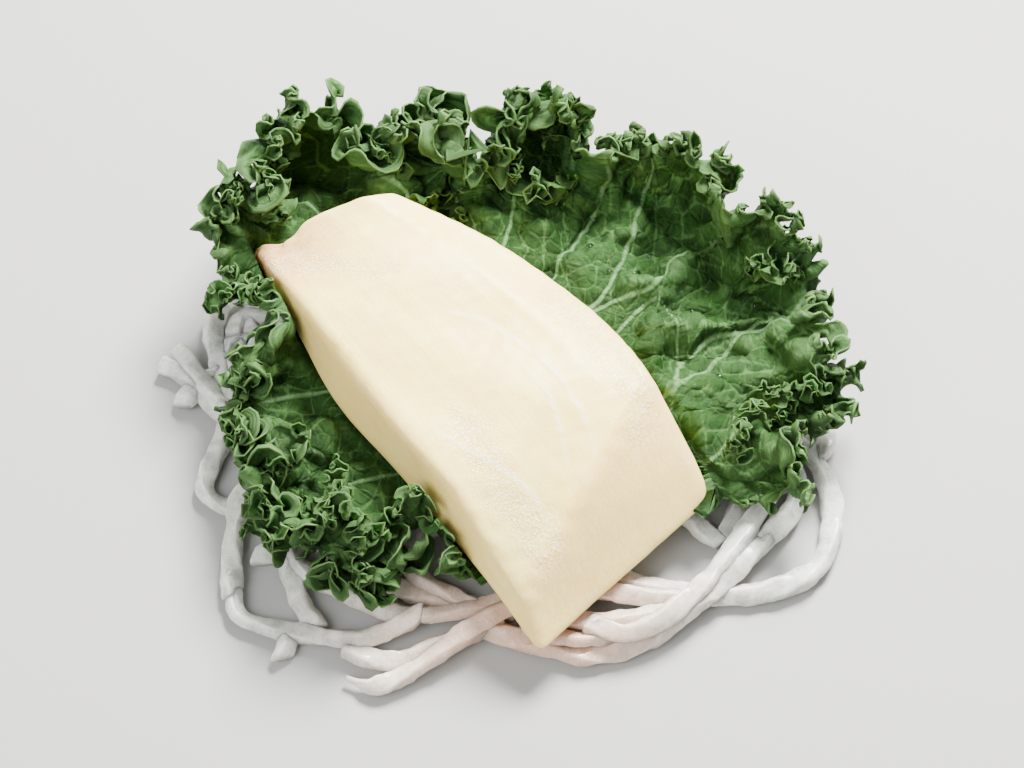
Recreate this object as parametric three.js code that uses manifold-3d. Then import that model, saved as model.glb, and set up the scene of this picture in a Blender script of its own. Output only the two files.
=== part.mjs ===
// Slice of white tuna sashimi on a curly kale leaf, over a loose bed of shredded white radish.
// Millimetres, +Z up. The bed stands on Z = 0, and the origin lies under the middle of the whole.
import * as THREE from "three";
import { mergeVertices } from "three/addons/utils/BufferGeometryUtils.js";
import Module from "manifold-3d";

const wasm = await Module();
wasm.setup();

const { smoothstep, lerp } = THREE.MathUtils;
const DEGREE = Math.PI / 180;
const TURN = 2 * Math.PI;

// Where the middle of the whole lies in the drawing that the sizes below are taken from
const MIDDLE = [-0.43, -0.15];

// Tuna slice: four edges of its plan, as cubic curves from the far end to the near end
const SLICE = {
  topLeft: [[-32.4, 16.6], [-25, 3], [-11, -14], [1.6, -30.5]],
  topRight: [[-14.5, 22.3], [0, 16], [10, 10.2], [17.2, -3.4]],
  lowLeft: [[-32.6, 17.4], [-25.8, 2.4], [-12.4, -15], [3.6, -36]],
  lowRight: [[-14.2, 22], [1, 16], [18.4, 4.5], [25, -15.6]],
  halfWidth: 13.2,
  halfLength: 28,
  halfThickness: 4.3,
  edgeRadius: 1.4,
  thickness: 8.6,
  nearEndExtra: 1.2,
  thinTipLoss: 5.4,
  nearTipLoss: 6,
  crown: 0.6,
  shoulderDrop: 1.5,
  segments: [8, 16, 3],
  crowding: 1.6,
};

// Underside of the slice: its height falls along the slice, then dips past the leaf's edge
const REST = {
  farEnd: [-23.5, 19.5],
  nearEnd: [14.3, -25.8],
  farHeight: 9.4,
  nearHeight: 6.2,
  dip: 1.1,
  dipFrom: 0.88,
};

// Kale leaf: reach and rim slope every 15 degrees, anticlockwise from +X
const LEAF = {
  centre: [-2, 2],
  reach: [
    44, 42.5, 44, 36.5, 35, 35.5, 34.5, 35, 38, 43, 38.5, 34,
    33, 33.5, 35, 36, 34, 30, 28, 25, 23, 23, 37, 42.5,
  ],
  rimSlope: [
    35, 35, 65, 100, 70, 120, 170, 95, 90, 105, 85, 50,
    35, 26, 22, 20, 20, 16, 12, 5, 0, 5, 16, 24,
  ],
  height: 6.2,
  flatPart: 0.56,
  thickness: 0.8,
  lowest: 5.55,
  lowestBlend: 0.5,
  clearance: 0.75,
  clearanceSlope: 1.2,
  seatMargin: 14,
  calmFrom: 0.5,
  calmTo: 6,
  slopeSteps: 20,
  nudge: 0.004,
  around: 64,
  rings: [0.22, 0.44, 0.56, 0.66, 0.75, 0.82, 0.88, 0.94, 1],
  splitRings: [2, 3],
};

// Waves of the leaf's margin, large ones first: each rides on the one before
const RUFFLES = [
  {
    waves: 13, size: 3, from: 0.5, meander: 0.45, drift: 1.3, drifts: 3,
    lean: 1.6, uneven: 0.35, patches: 5, phase: 0.4,
  },
  {
    waves: 33, size: 1.6, from: 0.72, meander: 0.45, drift: 1.9, drifts: 5,
    lean: 3, uneven: 0.4, patches: 8, phase: 1.9,
  },
];

// Radish shreds: width, height and sides of the cut section
const SHRED = { width: 2.4, height: 2.2, corner: 0.62, pitch: 3.6 };

// Routes of the shreds through the middle of the section, from the photo's left round to its right
const ROUTES = [
  [[-28, 14.5, 2.6], [-36, 15.6, 2.8], [-38.2, 12.6, 1.8], [-37.2, 6, 1.2], [-35, 0, 2.4], [-24, -6, 2.8]],
  [[-42.6, 8.8, 1], [-39.6, 4, 2.2], [-36.4, -0.6, 3.2], [-25, -9, 2.6]],
  [[-44.8, 6.6, 1], [-40.6, 4.2, 1], [-36.5, -0.8, 1], [-26, -6.5, 1.6]],
  [[-41.7, 0.6, 1], [-40.8, 2.4, 1], [-37, 5.6, 1.2]],
  [[-32.8, 16, 1], [-33.8, 12.6, 1], [-31, 7.5, 1.4], [-26, 2, 2]],
  [[-22, 12, 2.2], [-32.6, 8, 2.6], [-33.4, 3, 2.2], [-23, -2, 2.4]],
  [[-35.6, 0.6, 1], [-37, -5.5, 1], [-38.5, -11.2, 1], [-36.6, -13.2, 1], [-31, -15.2, 1.8], [-25, -16, 2.6]],
  [[-28, -9.5, 2.8], [-33.4, -12.6, 2.8], [-34.6, -18, 1.4], [-34.6, -26.4, 1]],
  [[-34.5, -25.2, 1], [-33.4, -28.6, 1], [-25.4, -31, 1], [-18, -31.8, 1.6], [-11, -29, 2.6]],
  [[-22, -14, 2.6], [-27.2, -20, 1.8], [-26.6, -25.4, 1], [-24, -30.2, 1]],
  [[-22, -13, 3], [-27, -20.8, 2.4], [-21.7, -25.4, 2], [-13, -29, 2.2], [-4, -28, 2.4], [4, -25, 2.6]],
  [[-32.1, -20.4, 1], [-28, -19.8, 1], [-20, -17, 1.4]],
  [[-17, -16, 2.4], [-18.6, -22.6, 2.2], [-11, -25.8, 1.2], [0, -27.8, 1]],
  [[-11, -15, 2.6], [-12.6, -22.6, 2.6], [-6.6, -26.6, 2], [-2, -28.6, 1.4]],
  [[-20.7, -33, 1], [-15, -34.7, 1], [-8.8, -32.6, 1], [-1, -29.2, 1]],
  [[-20.2, -36.8, 1], [-16.8, -38, 1], [-10.1, -34.8, 1.8], [-4, -30.4, 3], [4, -26, 3]],
  [[-27.6, -33.2, 1], [-27, -31.2, 1], [-26, -29, 1]],
  [[-5.2, -29.8, 1], [2.7, -32.3, 1], [10, -33.9, 1], [17, -31.4, 1.2], [23.2, -27, 2.2], [31.8, -18.2, 1.8]],
  [[31, -19, 1.9], [34.8, -14.6, 1.6], [35.8, -10.4, 2], [32, -5.4, 2.8], [26, -1, 2.8]],
  [[9, -30.6, 3.2], [14.4, -31.8, 3.2], [22, -27, 3.4], [30.2, -15.7, 2.6], [33, -9.8, 3], [30, -3, 3]],
  [
    [31, -2.4, 2.2], [37.8, -7.4, 2], [40, -14, 1], [37.8, -22, 1],
    [30, -25.6, 1], [21, -25.6, 1.2], [9, -23, 2.6],
  ],
  [[5, -9, 2.4], [9.5, -16, 1.6], [13, -25, 1.6]],
  [[2, -24, 3], [13.5, -26.5, 3], [22, -27, 1.6]],
  [[2, -29.2, 3], [10.8, -30.2, 3], [20.4, -28, 2.4]],
  [[1, -30.6, 2.8], [8.3, -32.4, 2.6], [17.8, -29.4, 1.2]],
  [[15, -9, 2.8], [22.4, -15.9, 1.6], [26, -18.8, 1.1]],
  [[26, -4, 1.4], [28.4, -12.6, 1], [26, -18.4, 1]],
  [[26, 1, 2.2], [33, -3.2, 2.2], [39.4, -3.6, 1.6], [38.6, -7.6, 1.8]],
];

// Mound that the shreds spring from, hidden under the leaf
const MOUND = {
  shareOfLeaf: 0.8,
  gap: 0.85,
  around: 36,
  rings: [0.3, 0.6, 0.84, 1],
  fallFrom: 0.4,
  edgeHeight: 0.6,
};

// Point at t on a cubic curve of the plan
function cubic([a, b, c, d], t) {
  const s = 1 - t;
  const weights = [s * s * s, 3 * s * s * t, 3 * s * t * t, t * t * t];
  return [0, 1].map((k) => weights[0] * a[k] + weights[1] * b[k] + weights[2] * c[k] + weights[3] * d[k]);
}

// Height of the slice's underside over a point of the plan
function underside(x, y) {
  const run = [REST.nearEnd[0] - REST.farEnd[0], REST.nearEnd[1] - REST.farEnd[1]];
  const along = ((x - REST.farEnd[0]) * run[0] + (y - REST.farEnd[1]) * run[1]) / (run[0] ** 2 + run[1] ** 2);
  return lerp(REST.farHeight, REST.nearHeight, along) - REST.dip * smoothstep(along, REST.dipFrom, 1);
}

// Thickness of the slice: thin at the far left tip and at the near tip, rounded off along the right
function sliceThickness(across, along) {
  const left = (1 - across) / 2;
  const farTip = SLICE.thinTipLoss * left ** 1.5 * smoothstep(-along, 0.4, 1);
  const nearTip = SLICE.nearTipLoss * left ** 2 * smoothstep(along, 0.5, 1);
  const nearEnd = SLICE.nearEndExtra * smoothstep(along, 0, 1);
  const crown = SLICE.crown * (1 - across * across);
  const shoulder = SLICE.shoulderDrop * smoothstep(across, 0.5, 1) * smoothstep(1 - along, 0, 0.5);
  return SLICE.thickness + nearEnd + crown - shoulder - farTip - nearTip;
}

// Point of the slice, where across, along and up each run from -1 to 1
function slicePoint(across, along, up) {
  const t = (along + 1) / 2;
  const side = (across + 1) / 2;
  const level = (up + 1) / 2;
  const edge = (low, top) => cubic(low, t).map((value, k) => lerp(value, cubic(top, t)[k], level));
  const left = edge(SLICE.lowLeft, SLICE.topLeft);
  const right = edge(SLICE.lowRight, SLICE.topRight);
  const x = lerp(left[0], right[0], side);
  const y = lerp(left[1], right[1], side);
  return new THREE.Vector3(x, y, underside(x, y) + level * sliceThickness(across, along));
}

// Moves a point of a box's skin onto the same box with rounded edges
function roundOff(point, half, radius) {
  const inner = point.clone().clamp(
    half.clone().negate().addScalar(radius),
    half.clone().addScalar(-radius),
  );
  return inner.clone().add(point.clone().sub(inner).setLength(radius));
}

// Spreads even steps so that more of them fall near both ends
function crowdEnds(value) {
  return Math.sign(value) * (1 - (1 - Math.abs(value)) ** SLICE.crowding);
}

// Geometry whose equal corners are shared, with positions alone
function welded(geometry) {
  geometry.deleteAttribute("normal");
  geometry.deleteAttribute("uv");
  return mergeVertices(geometry, 1e-4);
}

function tunaGeometry() {
  const half = new THREE.Vector3(SLICE.halfWidth, SLICE.halfLength, SLICE.halfThickness);
  const geometry = welded(new THREE.BoxGeometry(2, 2, 2, ...SLICE.segments));
  const position = geometry.attributes.position;
  const point = new THREE.Vector3();
  for (let i = 0; i < position.count; i++) {
    point.fromBufferAttribute(position, i);
    point.set(crowdEnds(point.x), -crowdEnds(point.y), point.z);
    const rounded = roundOff(point.multiply(half), half, SLICE.edgeRadius).divide(half);
    position.setXYZ(i, ...slicePoint(rounded.x, rounded.y, rounded.z));
  }
  return geometry;
}

// Outline of the slice's underside in plan
const FOOTPRINT = outlineOfSlice(12);

function outlineOfSlice(steps) {
  const points = [];
  for (let i = 0; i <= steps; i++) points.push(cubic(SLICE.lowLeft, i / steps));
  for (let i = steps; i >= 0; i--) points.push(cubic(SLICE.lowRight, i / steps));
  return points;
}

// Distance in plan from the slice's outline, less than zero under the slice
function besideSlice(x, y) {
  let nearest = Infinity;
  let inside = false;
  FOOTPRINT.forEach(([ax, ay], i) => {
    const [bx, by] = FOOTPRINT[(i + 1) % FOOTPRINT.length];
    const [ex, ey] = [bx - ax, by - ay];
    const t = THREE.MathUtils.clamp(((x - ax) * ex + (y - ay) * ey) / (ex * ex + ey * ey), 0, 1);
    nearest = Math.min(nearest, Math.hypot(x - ax - t * ex, y - ay - t * ey));
    if (ay > y !== by > y && x < ax + ((y - ay) * ex) / ey) inside = !inside;
  });
  return inside ? -nearest : nearest;
}

// Smooth value of a table that is spread evenly round the leaf
function roundLeaf(table, angle) {
  const count = table.length;
  const place = (((angle / TURN) % 1) + 1) % 1 * count;
  const first = Math.floor(place);
  const t = place - first;
  const [a, b, c, d] = [-1, 0, 1, 2].map((step) => table[(first + step + count) % count]);
  return b + 0.5 * t * (c - a + t * (2 * a - 5 * b + 4 * c - d + t * (3 * (b - c) + d - a)));
}

// Walk from the leaf's middle outwards on a slope that grows towards the rim
function walkOut(rimSlope, share) {
  let out = 0;
  let up = 0;
  let widest = 0;
  const step = share / LEAF.slopeSteps;
  for (let i = 0; i < LEAF.slopeSteps; i++) {
    const slope = rimSlope * smoothstep((i + 0.5) * step, LEAF.flatPart, 1);
    out += Math.cos(slope) * step;
    up += Math.sin(slope) * step;
    widest = Math.max(widest, out);
  }
  return { out, up, widest };
}

// Height of the leaf's middle: pressed to the slice's underside there, and level further out
function seatHeight(x, y) {
  const pressed = underside(x, y) - LEAF.clearance;
  return lerp(pressed, LEAF.height, smoothstep(besideSlice(x, y), 0, LEAF.seatMargin));
}

// The leaf without its ruffles
function plainLeaf(angle, share) {
  const rimSlope = roundLeaf(LEAF.rimSlope, angle) * DEGREE;
  const scale = roundLeaf(LEAF.reach, angle) / walkOut(rimSlope, 1).widest;
  const { out, up } = walkOut(rimSlope, share);
  const x = LEAF.centre[0] + Math.cos(angle) * out * scale;
  const y = LEAF.centre[1] + Math.sin(angle) * out * scale;
  return new THREE.Vector3(x, y, seatHeight(x, y) + up * scale);
}

// Directions along the rim and square to the surface
function frameOf(surface, angle, share) {
  const nudge = LEAF.nudge;
  const along = surface(angle + nudge, share).sub(surface(angle - nudge, share)).normalize();
  const outward = surface(angle, share + nudge).sub(surface(angle, share - nudge));
  const normal = outward.cross(along).normalize();
  return { along, normal };
}

// Adds one set of waves to a surface
function withRuffle(surface, ruffle) {
  return (angle, share) => {
    const point = surface(angle, share);
    const calm = smoothstep(besideSlice(point.x, point.y), LEAF.calmFrom, LEAF.calmTo);
    const grown = smoothstep(share, ruffle.from, 1) * calm;
    if (grown === 0) return point;
    const { along, normal } = frameOf(surface, angle, share);
    const uneven = 1 + ruffle.uneven * Math.sin(ruffle.patches * Math.sin(angle) + ruffle.phase);
    const size = ruffle.size * grown * uneven;
    const drift = ruffle.drift * Math.sin(ruffle.drifts * angle + ruffle.phase);
    const lean = ruffle.lean * (1 - share) * Math.sin(2 * angle + ruffle.phase);
    const phase = ruffle.waves * angle + drift + lean;
    point.addScaledVector(normal, size * Math.sin(phase));
    return point.addScaledVector(along, -size * ruffle.meander * Math.sin(2 * phase));
  };
}

// Keeps the leaf above the shreds and below the slice
function settled(surface) {
  return (angle, share) => {
    const point = surface(angle, share);
    const gap = point.z - LEAF.lowest;
    point.z = LEAF.lowest + (gap + Math.hypot(gap, LEAF.lowestBlend)) / 2;
    const beside = Math.max(0, besideSlice(point.x, point.y) - LEAF.calmFrom);
    const ceiling = underside(point.x, point.y) - LEAF.clearance + beside * LEAF.clearanceSlope;
    point.z = Math.min(point.z, ceiling);
    return point;
  };
}

// Rings of points from the leaf's middle to its rim, doubled in number at the split rings
function leafRings() {
  let count = LEAF.around;
  return LEAF.rings.map((share, i) => {
    if (LEAF.splitRings.includes(i)) count *= 2;
    return { share, count };
  });
}

// Triangles that fill a disc of rings: a fan round the middle, then strips from ring to ring
function discTriangles(counts) {
  const triangles = [];
  let inner = 1;
  for (let i = 0; i < counts[0]; i++) triangles.push([0, inner + i, inner + ((i + 1) % counts[0])]);
  for (let ring = 1; ring < counts.length; ring++) {
    const [few, many] = [counts[ring - 1], counts[ring]];
    const outer = inner + few;
    const split = many / few;
    for (let i = 0; i < few; i++) {
      const next = (i + 1) % few;
      const rim = Array.from({ length: split + 1 }, (_, k) => outer + ((i * split + k) % many));
      triangles.push([inner + i, rim[0], rim[1]], [inner + i, rim[1], inner + next]);
      if (split === 2) triangles.push([inner + next, rim[1], rim[2]]);
    }
    inner = outer;
  }
  return triangles;
}

// Closed skin from two like discs of points, one over the other, joined round their rims
function closedDisc(top, low, counts) {
  const rimCount = counts.at(-1);
  const rimStart = top.length - rimCount;
  const faces = [];
  discTriangles(counts).forEach(([a, b, c]) => {
    faces.push(a, b, c);
    faces.push(a + top.length, c + top.length, b + top.length);
  });
  for (let i = 0; i < rimCount; i++) {
    const here = rimStart + i;
    const next = rimStart + ((i + 1) % rimCount);
    faces.push(here, here + top.length, next + top.length);
    faces.push(here, next + top.length, next);
  }
  return new THREE.BufferGeometry().setFromPoints([...top, ...low]).setIndex(faces);
}

function kaleGeometry() {
  const surface = settled(RUFFLES.reduce(withRuffle, plainLeaf));
  const rings = leafRings();
  const top = [];
  const low = [];
  const addPair = (angle, share) => {
    const point = surface(angle, share);
    const { normal } = frameOf(surface, angle, Math.max(share, LEAF.rings[0] / 2));
    normal.multiplyScalar(LEAF.thickness / 2);
    top.push(point.clone().add(normal));
    low.push(point.clone().sub(normal));
  };
  addPair(0, 0);
  rings.forEach(({ share, count }) => {
    for (let i = 0; i < count; i++) addPair((i / count) * TURN, share);
  });
  return closedDisc(top, low, rings.map(({ count }) => count));
}

// One shred: a six-sided section with a flat top and bottom, drawn along its route
function shredGeometry(route) {
  const path = new THREE.CatmullRomCurve3(route.map((point) => new THREE.Vector3(...point)));
  const [rise, half] = [SHRED.height / 2, SHRED.width / 2];
  const section = new THREE.Shape([
    new THREE.Vector2(rise, half * SHRED.corner),
    new THREE.Vector2(0, half),
    new THREE.Vector2(-rise, half * SHRED.corner),
    new THREE.Vector2(-rise, -half * SHRED.corner),
    new THREE.Vector2(0, -half),
    new THREE.Vector2(rise, -half * SHRED.corner),
  ]);
  const steps = Math.max(2, Math.round(path.getLength() / SHRED.pitch));
  return welded(new THREE.ExtrudeGeometry(section, { steps, extrudePath: path, bevelEnabled: false }));
}

// Height of the mound, which fills the room under the leaf and falls away to a thin edge
function moundHeight(x, y, share) {
  return lerp(seatHeight(x, y) - MOUND.gap, MOUND.edgeHeight, smoothstep(share, MOUND.fallFrom, 1));
}

// Low mound with a flat base, in the leaf's outline made smaller
function moundGeometry() {
  const top = [new THREE.Vector3(...LEAF.centre, moundHeight(...LEAF.centre, 0))];
  const low = [new THREE.Vector3(...LEAF.centre, 0)];
  MOUND.rings.forEach((share) => {
    for (let i = 0; i < MOUND.around; i++) {
      const angle = (i / MOUND.around) * TURN;
      const reach = roundLeaf(LEAF.reach, angle) * MOUND.shareOfLeaf * share;
      const x = LEAF.centre[0] + Math.cos(angle) * reach;
      const y = LEAF.centre[1] + Math.sin(angle) * reach;
      top.push(new THREE.Vector3(x, y, moundHeight(x, y, share)));
      low.push(new THREE.Vector3(x, y, 0));
    }
  });
  return closedDisc(top, low, MOUND.rings.map(() => MOUND.around));
}

// Solid of a closed geometry with shared corners
function solidOf(geometry) {
  return new wasm.Manifold(
    new wasm.Mesh({
      numProp: 3,
      vertProperties: geometry.attributes.position.array,
      triVerts: new Uint32Array(geometry.index.array),
    }),
  );
}

// Geometry of a joined solid
function geometryOf(solid) {
  const { vertProperties, triVerts } = solid.getMesh();
  return new THREE.BufferGeometry()
    .setAttribute("position", new THREE.BufferAttribute(vertProperties, 3))
    .setIndex(new THREE.BufferAttribute(triVerts, 1));
}

// Everything under the surface that the bed stands on
function groundGeometry() {
  const [side, depth] = [200, 10];
  return welded(new THREE.BoxGeometry(side, side, depth)).translate(0, 0, -depth / 2);
}

// The largest body of a solid, with any sealed hollow filled
function largestBody(solid) {
  return solid.decompose().sort((a, b) => b.volume() - a.volume())[0];
}

function radishGeometry() {
  const mound = solidOf(moundGeometry());
  const heap = ROUTES.reduce((solid, route) => solid.add(solidOf(shredGeometry(route))), mound);
  return geometryOf(largestBody(heap.subtract(solidOf(groundGeometry()))));
}

function piece(name, geometry, color, roughness) {
  geometry.computeVertexNormals();
  const mesh = new THREE.Mesh(geometry, new THREE.MeshStandardMaterial({ color, roughness, metalness: 0 }));
  mesh.name = name;
  return mesh;
}

const sashimi = new THREE.Group();
sashimi.add(
  piece("tuna_slice", tunaGeometry(), 0xf8efdb, 0.35),
  piece("kale_leaf", kaleGeometry(), 0x4d6d2f, 0.5),
  piece("radish_shreds", radishGeometry(), 0xe2e1d9, 0.3),
);
sashimi.position.set(-MIDDLE[0], -MIDDLE[1], 0);

export default sashimi;
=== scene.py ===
# Slice of white tuna sashimi on a curly kale leaf, over a loose bed of shredded white radish.
import math

import bpy
import numpy as np
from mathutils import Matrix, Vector


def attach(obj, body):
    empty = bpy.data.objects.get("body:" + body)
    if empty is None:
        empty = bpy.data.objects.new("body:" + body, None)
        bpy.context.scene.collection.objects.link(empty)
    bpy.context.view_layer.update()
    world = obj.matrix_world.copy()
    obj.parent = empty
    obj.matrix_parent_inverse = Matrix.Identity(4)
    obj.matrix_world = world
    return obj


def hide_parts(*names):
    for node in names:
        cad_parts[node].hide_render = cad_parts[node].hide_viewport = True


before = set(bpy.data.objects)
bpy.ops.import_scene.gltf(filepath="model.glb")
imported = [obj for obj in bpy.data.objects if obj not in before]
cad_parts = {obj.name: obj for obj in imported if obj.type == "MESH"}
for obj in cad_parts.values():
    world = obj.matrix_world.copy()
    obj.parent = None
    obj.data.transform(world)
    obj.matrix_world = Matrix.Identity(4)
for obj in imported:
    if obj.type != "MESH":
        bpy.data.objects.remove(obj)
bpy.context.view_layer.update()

# Shapes are worked out in millimetres, in the drawing that the solids come from
MM = 0.001
TURN = 2 * math.pi
MIDDLE = np.array([-0.43, -0.15, 0.0])

# Camera of the photograph
VIEW = {
    "elevation": 62.0, "distance": 450.0, "target": (0.0, 0.0, 8.0), "pixels_per_mm": 8.0,
    "clip": (0.01, 10),
}
PHOTO_WIDTH = 1024
SENSOR = 36.0

# Lights: place and size in metres, power and colour
LIGHTS = {
    "key": ((0.13, 0.30, 0.36), 0.2, 18.0, (1.0, 0.985, 0.95)),
    "fill": ((-0.40, -0.30, 0.5), 0.5, 5.0, (1.0, 1.0, 1.0)),
}

# Light from all round, and the floor in metres
WORLD = {"color": (1.0, 1.0, 0.98, 1), "strength": 0.75}
FLOOR = {"half": 1.5, "level": -0.0002, "color": (160, 160, 158)}

# Tuna slice: four edges of its plan, as cubic curves from the far end to the near end
SLICE = {
    "top_left": [(-32.4, 17.2), (-25, 3), (-11, -14), (1.6, -30.5)],
    "top_right": [(-15.0, 23.3), (0.2, 16), (10, 10.2), (17.2, -3.4)],
    "low_left": [(-32.6, 17.4), (-25.8, 2.4), (-12.4, -15), (3.6, -36)],
    "low_right": [(-14.2, 22), (1, 16), (18.4, 4.5), (25, -15.6)],
    "half": (13.2, 28.0, 4.3),
    "edge_radius": 1.2,
    "thickness": 8.6,
    "near_end_extra": 1.2,
    "far_tip": {"loss": 5.4, "power": 1.5, "start": 0.4},
    "near_tip": {"loss": 6.0, "power": 2, "start": 0.5},
    "crown": 0.6,
    "shoulder": {"drop": 1.5, "across": (0.5, 1), "from_end": (0, 0.5)},
    "bulge": {"size": 1.3, "place": 0.42, "wide": 0.17, "heading": (-0.83, -0.55)},
    "dent": {"size": 1.5, "place": -0.62, "wide": 0.22, "start": 0.7, "heading": (0.5, -0.86)},
    "segments": (80, 170, 16),
    "crowding": 1.5,
    "lumps": [(0.18, 13, 21, 9), (0.035, 2.4, 22, 9)],
    "side_lumps": 0.35,
    "seam_depth": 0.07,
    "seam_width": 0.2,
    "seam_fade": 0.7,
    "top_over": (0.2, 0.9),
    "shaded_faces_over": (0.93, 1.0),
    "tip_along": (0.42, 0.95),
    "tip_across": (-0.3, 0.8),
    "tip_on_side": 0.25,
    "ragged_along": (0.9, 1),
    "ragged_across": (0.3, 0.9),
    "ragged_lumps": [(1.0, 2.3, 23, 9)],
    "ragged_least": 0.5,
    "ragged_push": (-0.4, 0.1, 0.1),
}

# Seams between the muscle layers, on the slice's top
SEAMS = [
    [
        (-12.4, 6.2), (-5.2, 4.6), (-2, 3.2), (2.3, -0.1),
        (5.9, -4.2), (8.3, -8.3), (9.7, -11.9), (10.3, -14.7),
    ],
    [(1, -2.4), (4, -5.6), (5.8, -10.4), (6.8, -15.8)],
    [(-9.9, -10.5), (-6.3, -13.1), (-1.5, -15.8), (2.2, -18.5), (4.6, -22.6)],
]

# Wet, finely crackled places on the slice's top, glossier and with painted highlight speckles: half width,
# then the line along each
WET_GLINTS = [
    (3.0, [(6.0, 7.5), (10.8, 1.9), (14.5, -4.4), (17.0, -10.6), (17.9, -16.0)]),
    (2.4, [(-6.0, -10.0), (-3.5, -14.0), (-1.4, -18.7), (2.2, -22.1), (4.0, -25.4)]),
    (1.8, [(-31.3, 13.6), (-26.5, 13.0), (-20.9, 12.1), (-15.8, 10.3)]),
]

# Underside of the slice
REST = {
    "far_end": (-23.5, 19.5),
    "near_end": (14.3, -25.8),
    "far_height": 9.4,
    "near_height": 6.2,
    "dip": 1.1,
    "dip_from": 0.88,
}

# Kale leaf: reach and rim slope every 15 degrees, anticlockwise from +X, and the rim's notches and tongues
# as angle, half width in degrees and extra length
LEAF = {
    "centre": (-2.0, 2.0),
    "reach": [
        43.5, 40.5, 43.5, 34.5, 35.5, 35.5, 33, 33, 36, 41, 37, 34.5,
        33, 33.5, 36, 36, 34, 28, 27.5, 25, 23, 22, 36, 42,
    ],
    "rim_marks": [
        (36, 3, -3.2), (67, 5, -2.4), (98, 4, -2.8), (120, 3, -3.0),
        (169, 6, -3.4), (250, 4, -4.0), (330, 4, -3.0), (335, 4, 3.8), (345, 3, -1.5),
    ],
    "rim_slope": [
        35, 35, 65, 100, 70, 120, 170, 95, 90, 105, 85, 50,
        35, 26, 22, 20, 20, 16, 12, 5, 0, 5, 16, 24,
    ],
    "height": 6.2,
    "flat_part": 0.56,
    "lowest": 5.55,
    "lowest_blend": 0.5,
    "clearance": 0.5,
    "clearance_slope": 30.0,
    "slice_margin": 0.7,
    "over_slice": 0.4,
    "deepest": 3.0,
    "seat_margin": 14.0,
    "calm_from": 0.3,
    "calm_to": 2.2,
    "slope_steps": 20,
    "frill_band": [
        8, 7, 6.5, 7, 8, 10, 12.5, 13.5, 13, 11.5, 10.5, 12,
        14, 14, 15, 15, 14, 13, 12, 10, 8, 8, 10, 11,
    ],
    "swell_start": 0.5,
    "hub_share": 0.02,
    "around": 4400,
    "thickness": (0.6, 0.2),
}

# Rings of the leaf: up to each share of the way out, how many rings, one column in how many, and
# spacing power
LEAF_ZONES = [(0.3, 6, 16, 1), (0.6, 26, 8, 1), (0.78, 18, 4, 1), (0.9, 10, 2, 1), (1.0, 12, 1, 0.75)]
LEAF_PARTS = {"kale_leaf_blade": (0, 50), "kale_leaf_frill": (50, 61), "kale_leaf_margin": (61, 71)}

# Puckers between the veins, strongest round one place of the flattened leaf, and their cells
PUCKER = {
    "place": (21.0, 2.0), "round": 12.0, "least": 0.4, "extra": 0.6, "wide": (0.1, 2.4), "twig_pull": 1.3,
    "cell": 2.9, "cell_edge": 1.0, "cell_height": 0.34, "cell_least": 0.06,
    "cell_share": (0.2, 0.4), "off_vein": (0.2, 1.2), "puff_at_seams": 0.4,
}

# Folds of the blade: height and half width in millimetres, then angle and share of the way out along each,
# and how sharply a fold falls away to its sides
FOLD_POWER = 1.3
FOLDS = [
    (-2.0, 1.8, [(66, 0.42), (64, 0.55), (62, 0.7), (62, 0.85), (61, 0.97)]),
    (1.8, 3.4, [(54, 0.48), (52, 0.58), (49, 0.68)]),
    (1.8, 2.4, [(73, 0.5), (71, 0.65), (70, 0.8)]),
    (-2.2, 1.8, [(57, 0.79), (50, 0.79), (42, 0.8)]),
    (3.4, 1.8, [(33, 0.44), (30, 0.52), (32, 0.61), (31, 0.7), (33, 0.8), (35, 0.96)]),
    (-1.0, 2.6, [(42, 0.55), (40, 0.65), (38, 0.72)]),
    (-2.0, 2.2, [(26, 0.66), (22, 0.72), (18, 0.76)]),
    (3.2, 1.7, [(15, 0.5), (13, 0.6), (11, 0.7), (12, 0.84)]),
    (-1.8, 1.8, [(6, 0.52), (5, 0.65), (4, 0.78), (4, 0.92)]),
    (2.2, 2.4, [(356, 0.5), (352, 0.62), (350, 0.72), (352, 0.84)]),
    (1.6, 2.0, [(338, 0.52), (336, 0.66), (338, 0.8)]),
    (-2.2, 3.6, [(140, 0.76), (131, 0.78), (122, 0.78)]),
    (1.0, 1.2, [(149, 0.8), (146, 0.86), (145, 0.94)]),
    (1.8, 2.0, [(118, 0.6), (116, 0.74), (117, 0.88)]),
    (2.0, 2.0, [(94, 0.5), (94, 0.64), (95, 0.8)]),
    (1.8, 2.0, [(82, 0.5), (81, 0.66), (80, 0.82)]),
    (1.0, 2.4, [(184, 0.62), (187, 0.76), (188, 0.9)]),
    (1.0, 2.4, [(204, 0.56), (203, 0.7), (201, 0.86)]),
    (1.2, 2.2, [(219, 0.55), (221, 0.7), (222, 0.86)]),
    (1.2, 2.0, [(236, 0.6), (238, 0.74), (240, 0.88)]),
]

# Rule that scatters one spot in each square of a grid
SCATTER = {"turns": [[127.1, 269.5], [311.7, 183.3]], "swing": 437.5, "least": 0.15, "room": 0.7}

# Hollows and ridges, for painted shade in the leaf's hollows and painted light on its ridges: how many
# columns away a place's neighbours are taken, and how strongly they tell
HOLLOWS_FOR_SHADING = {"blur": 0.05, "gain": 4, "leaf_reach": (10, 30), "lobe_reach": (4, 9)}

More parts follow.
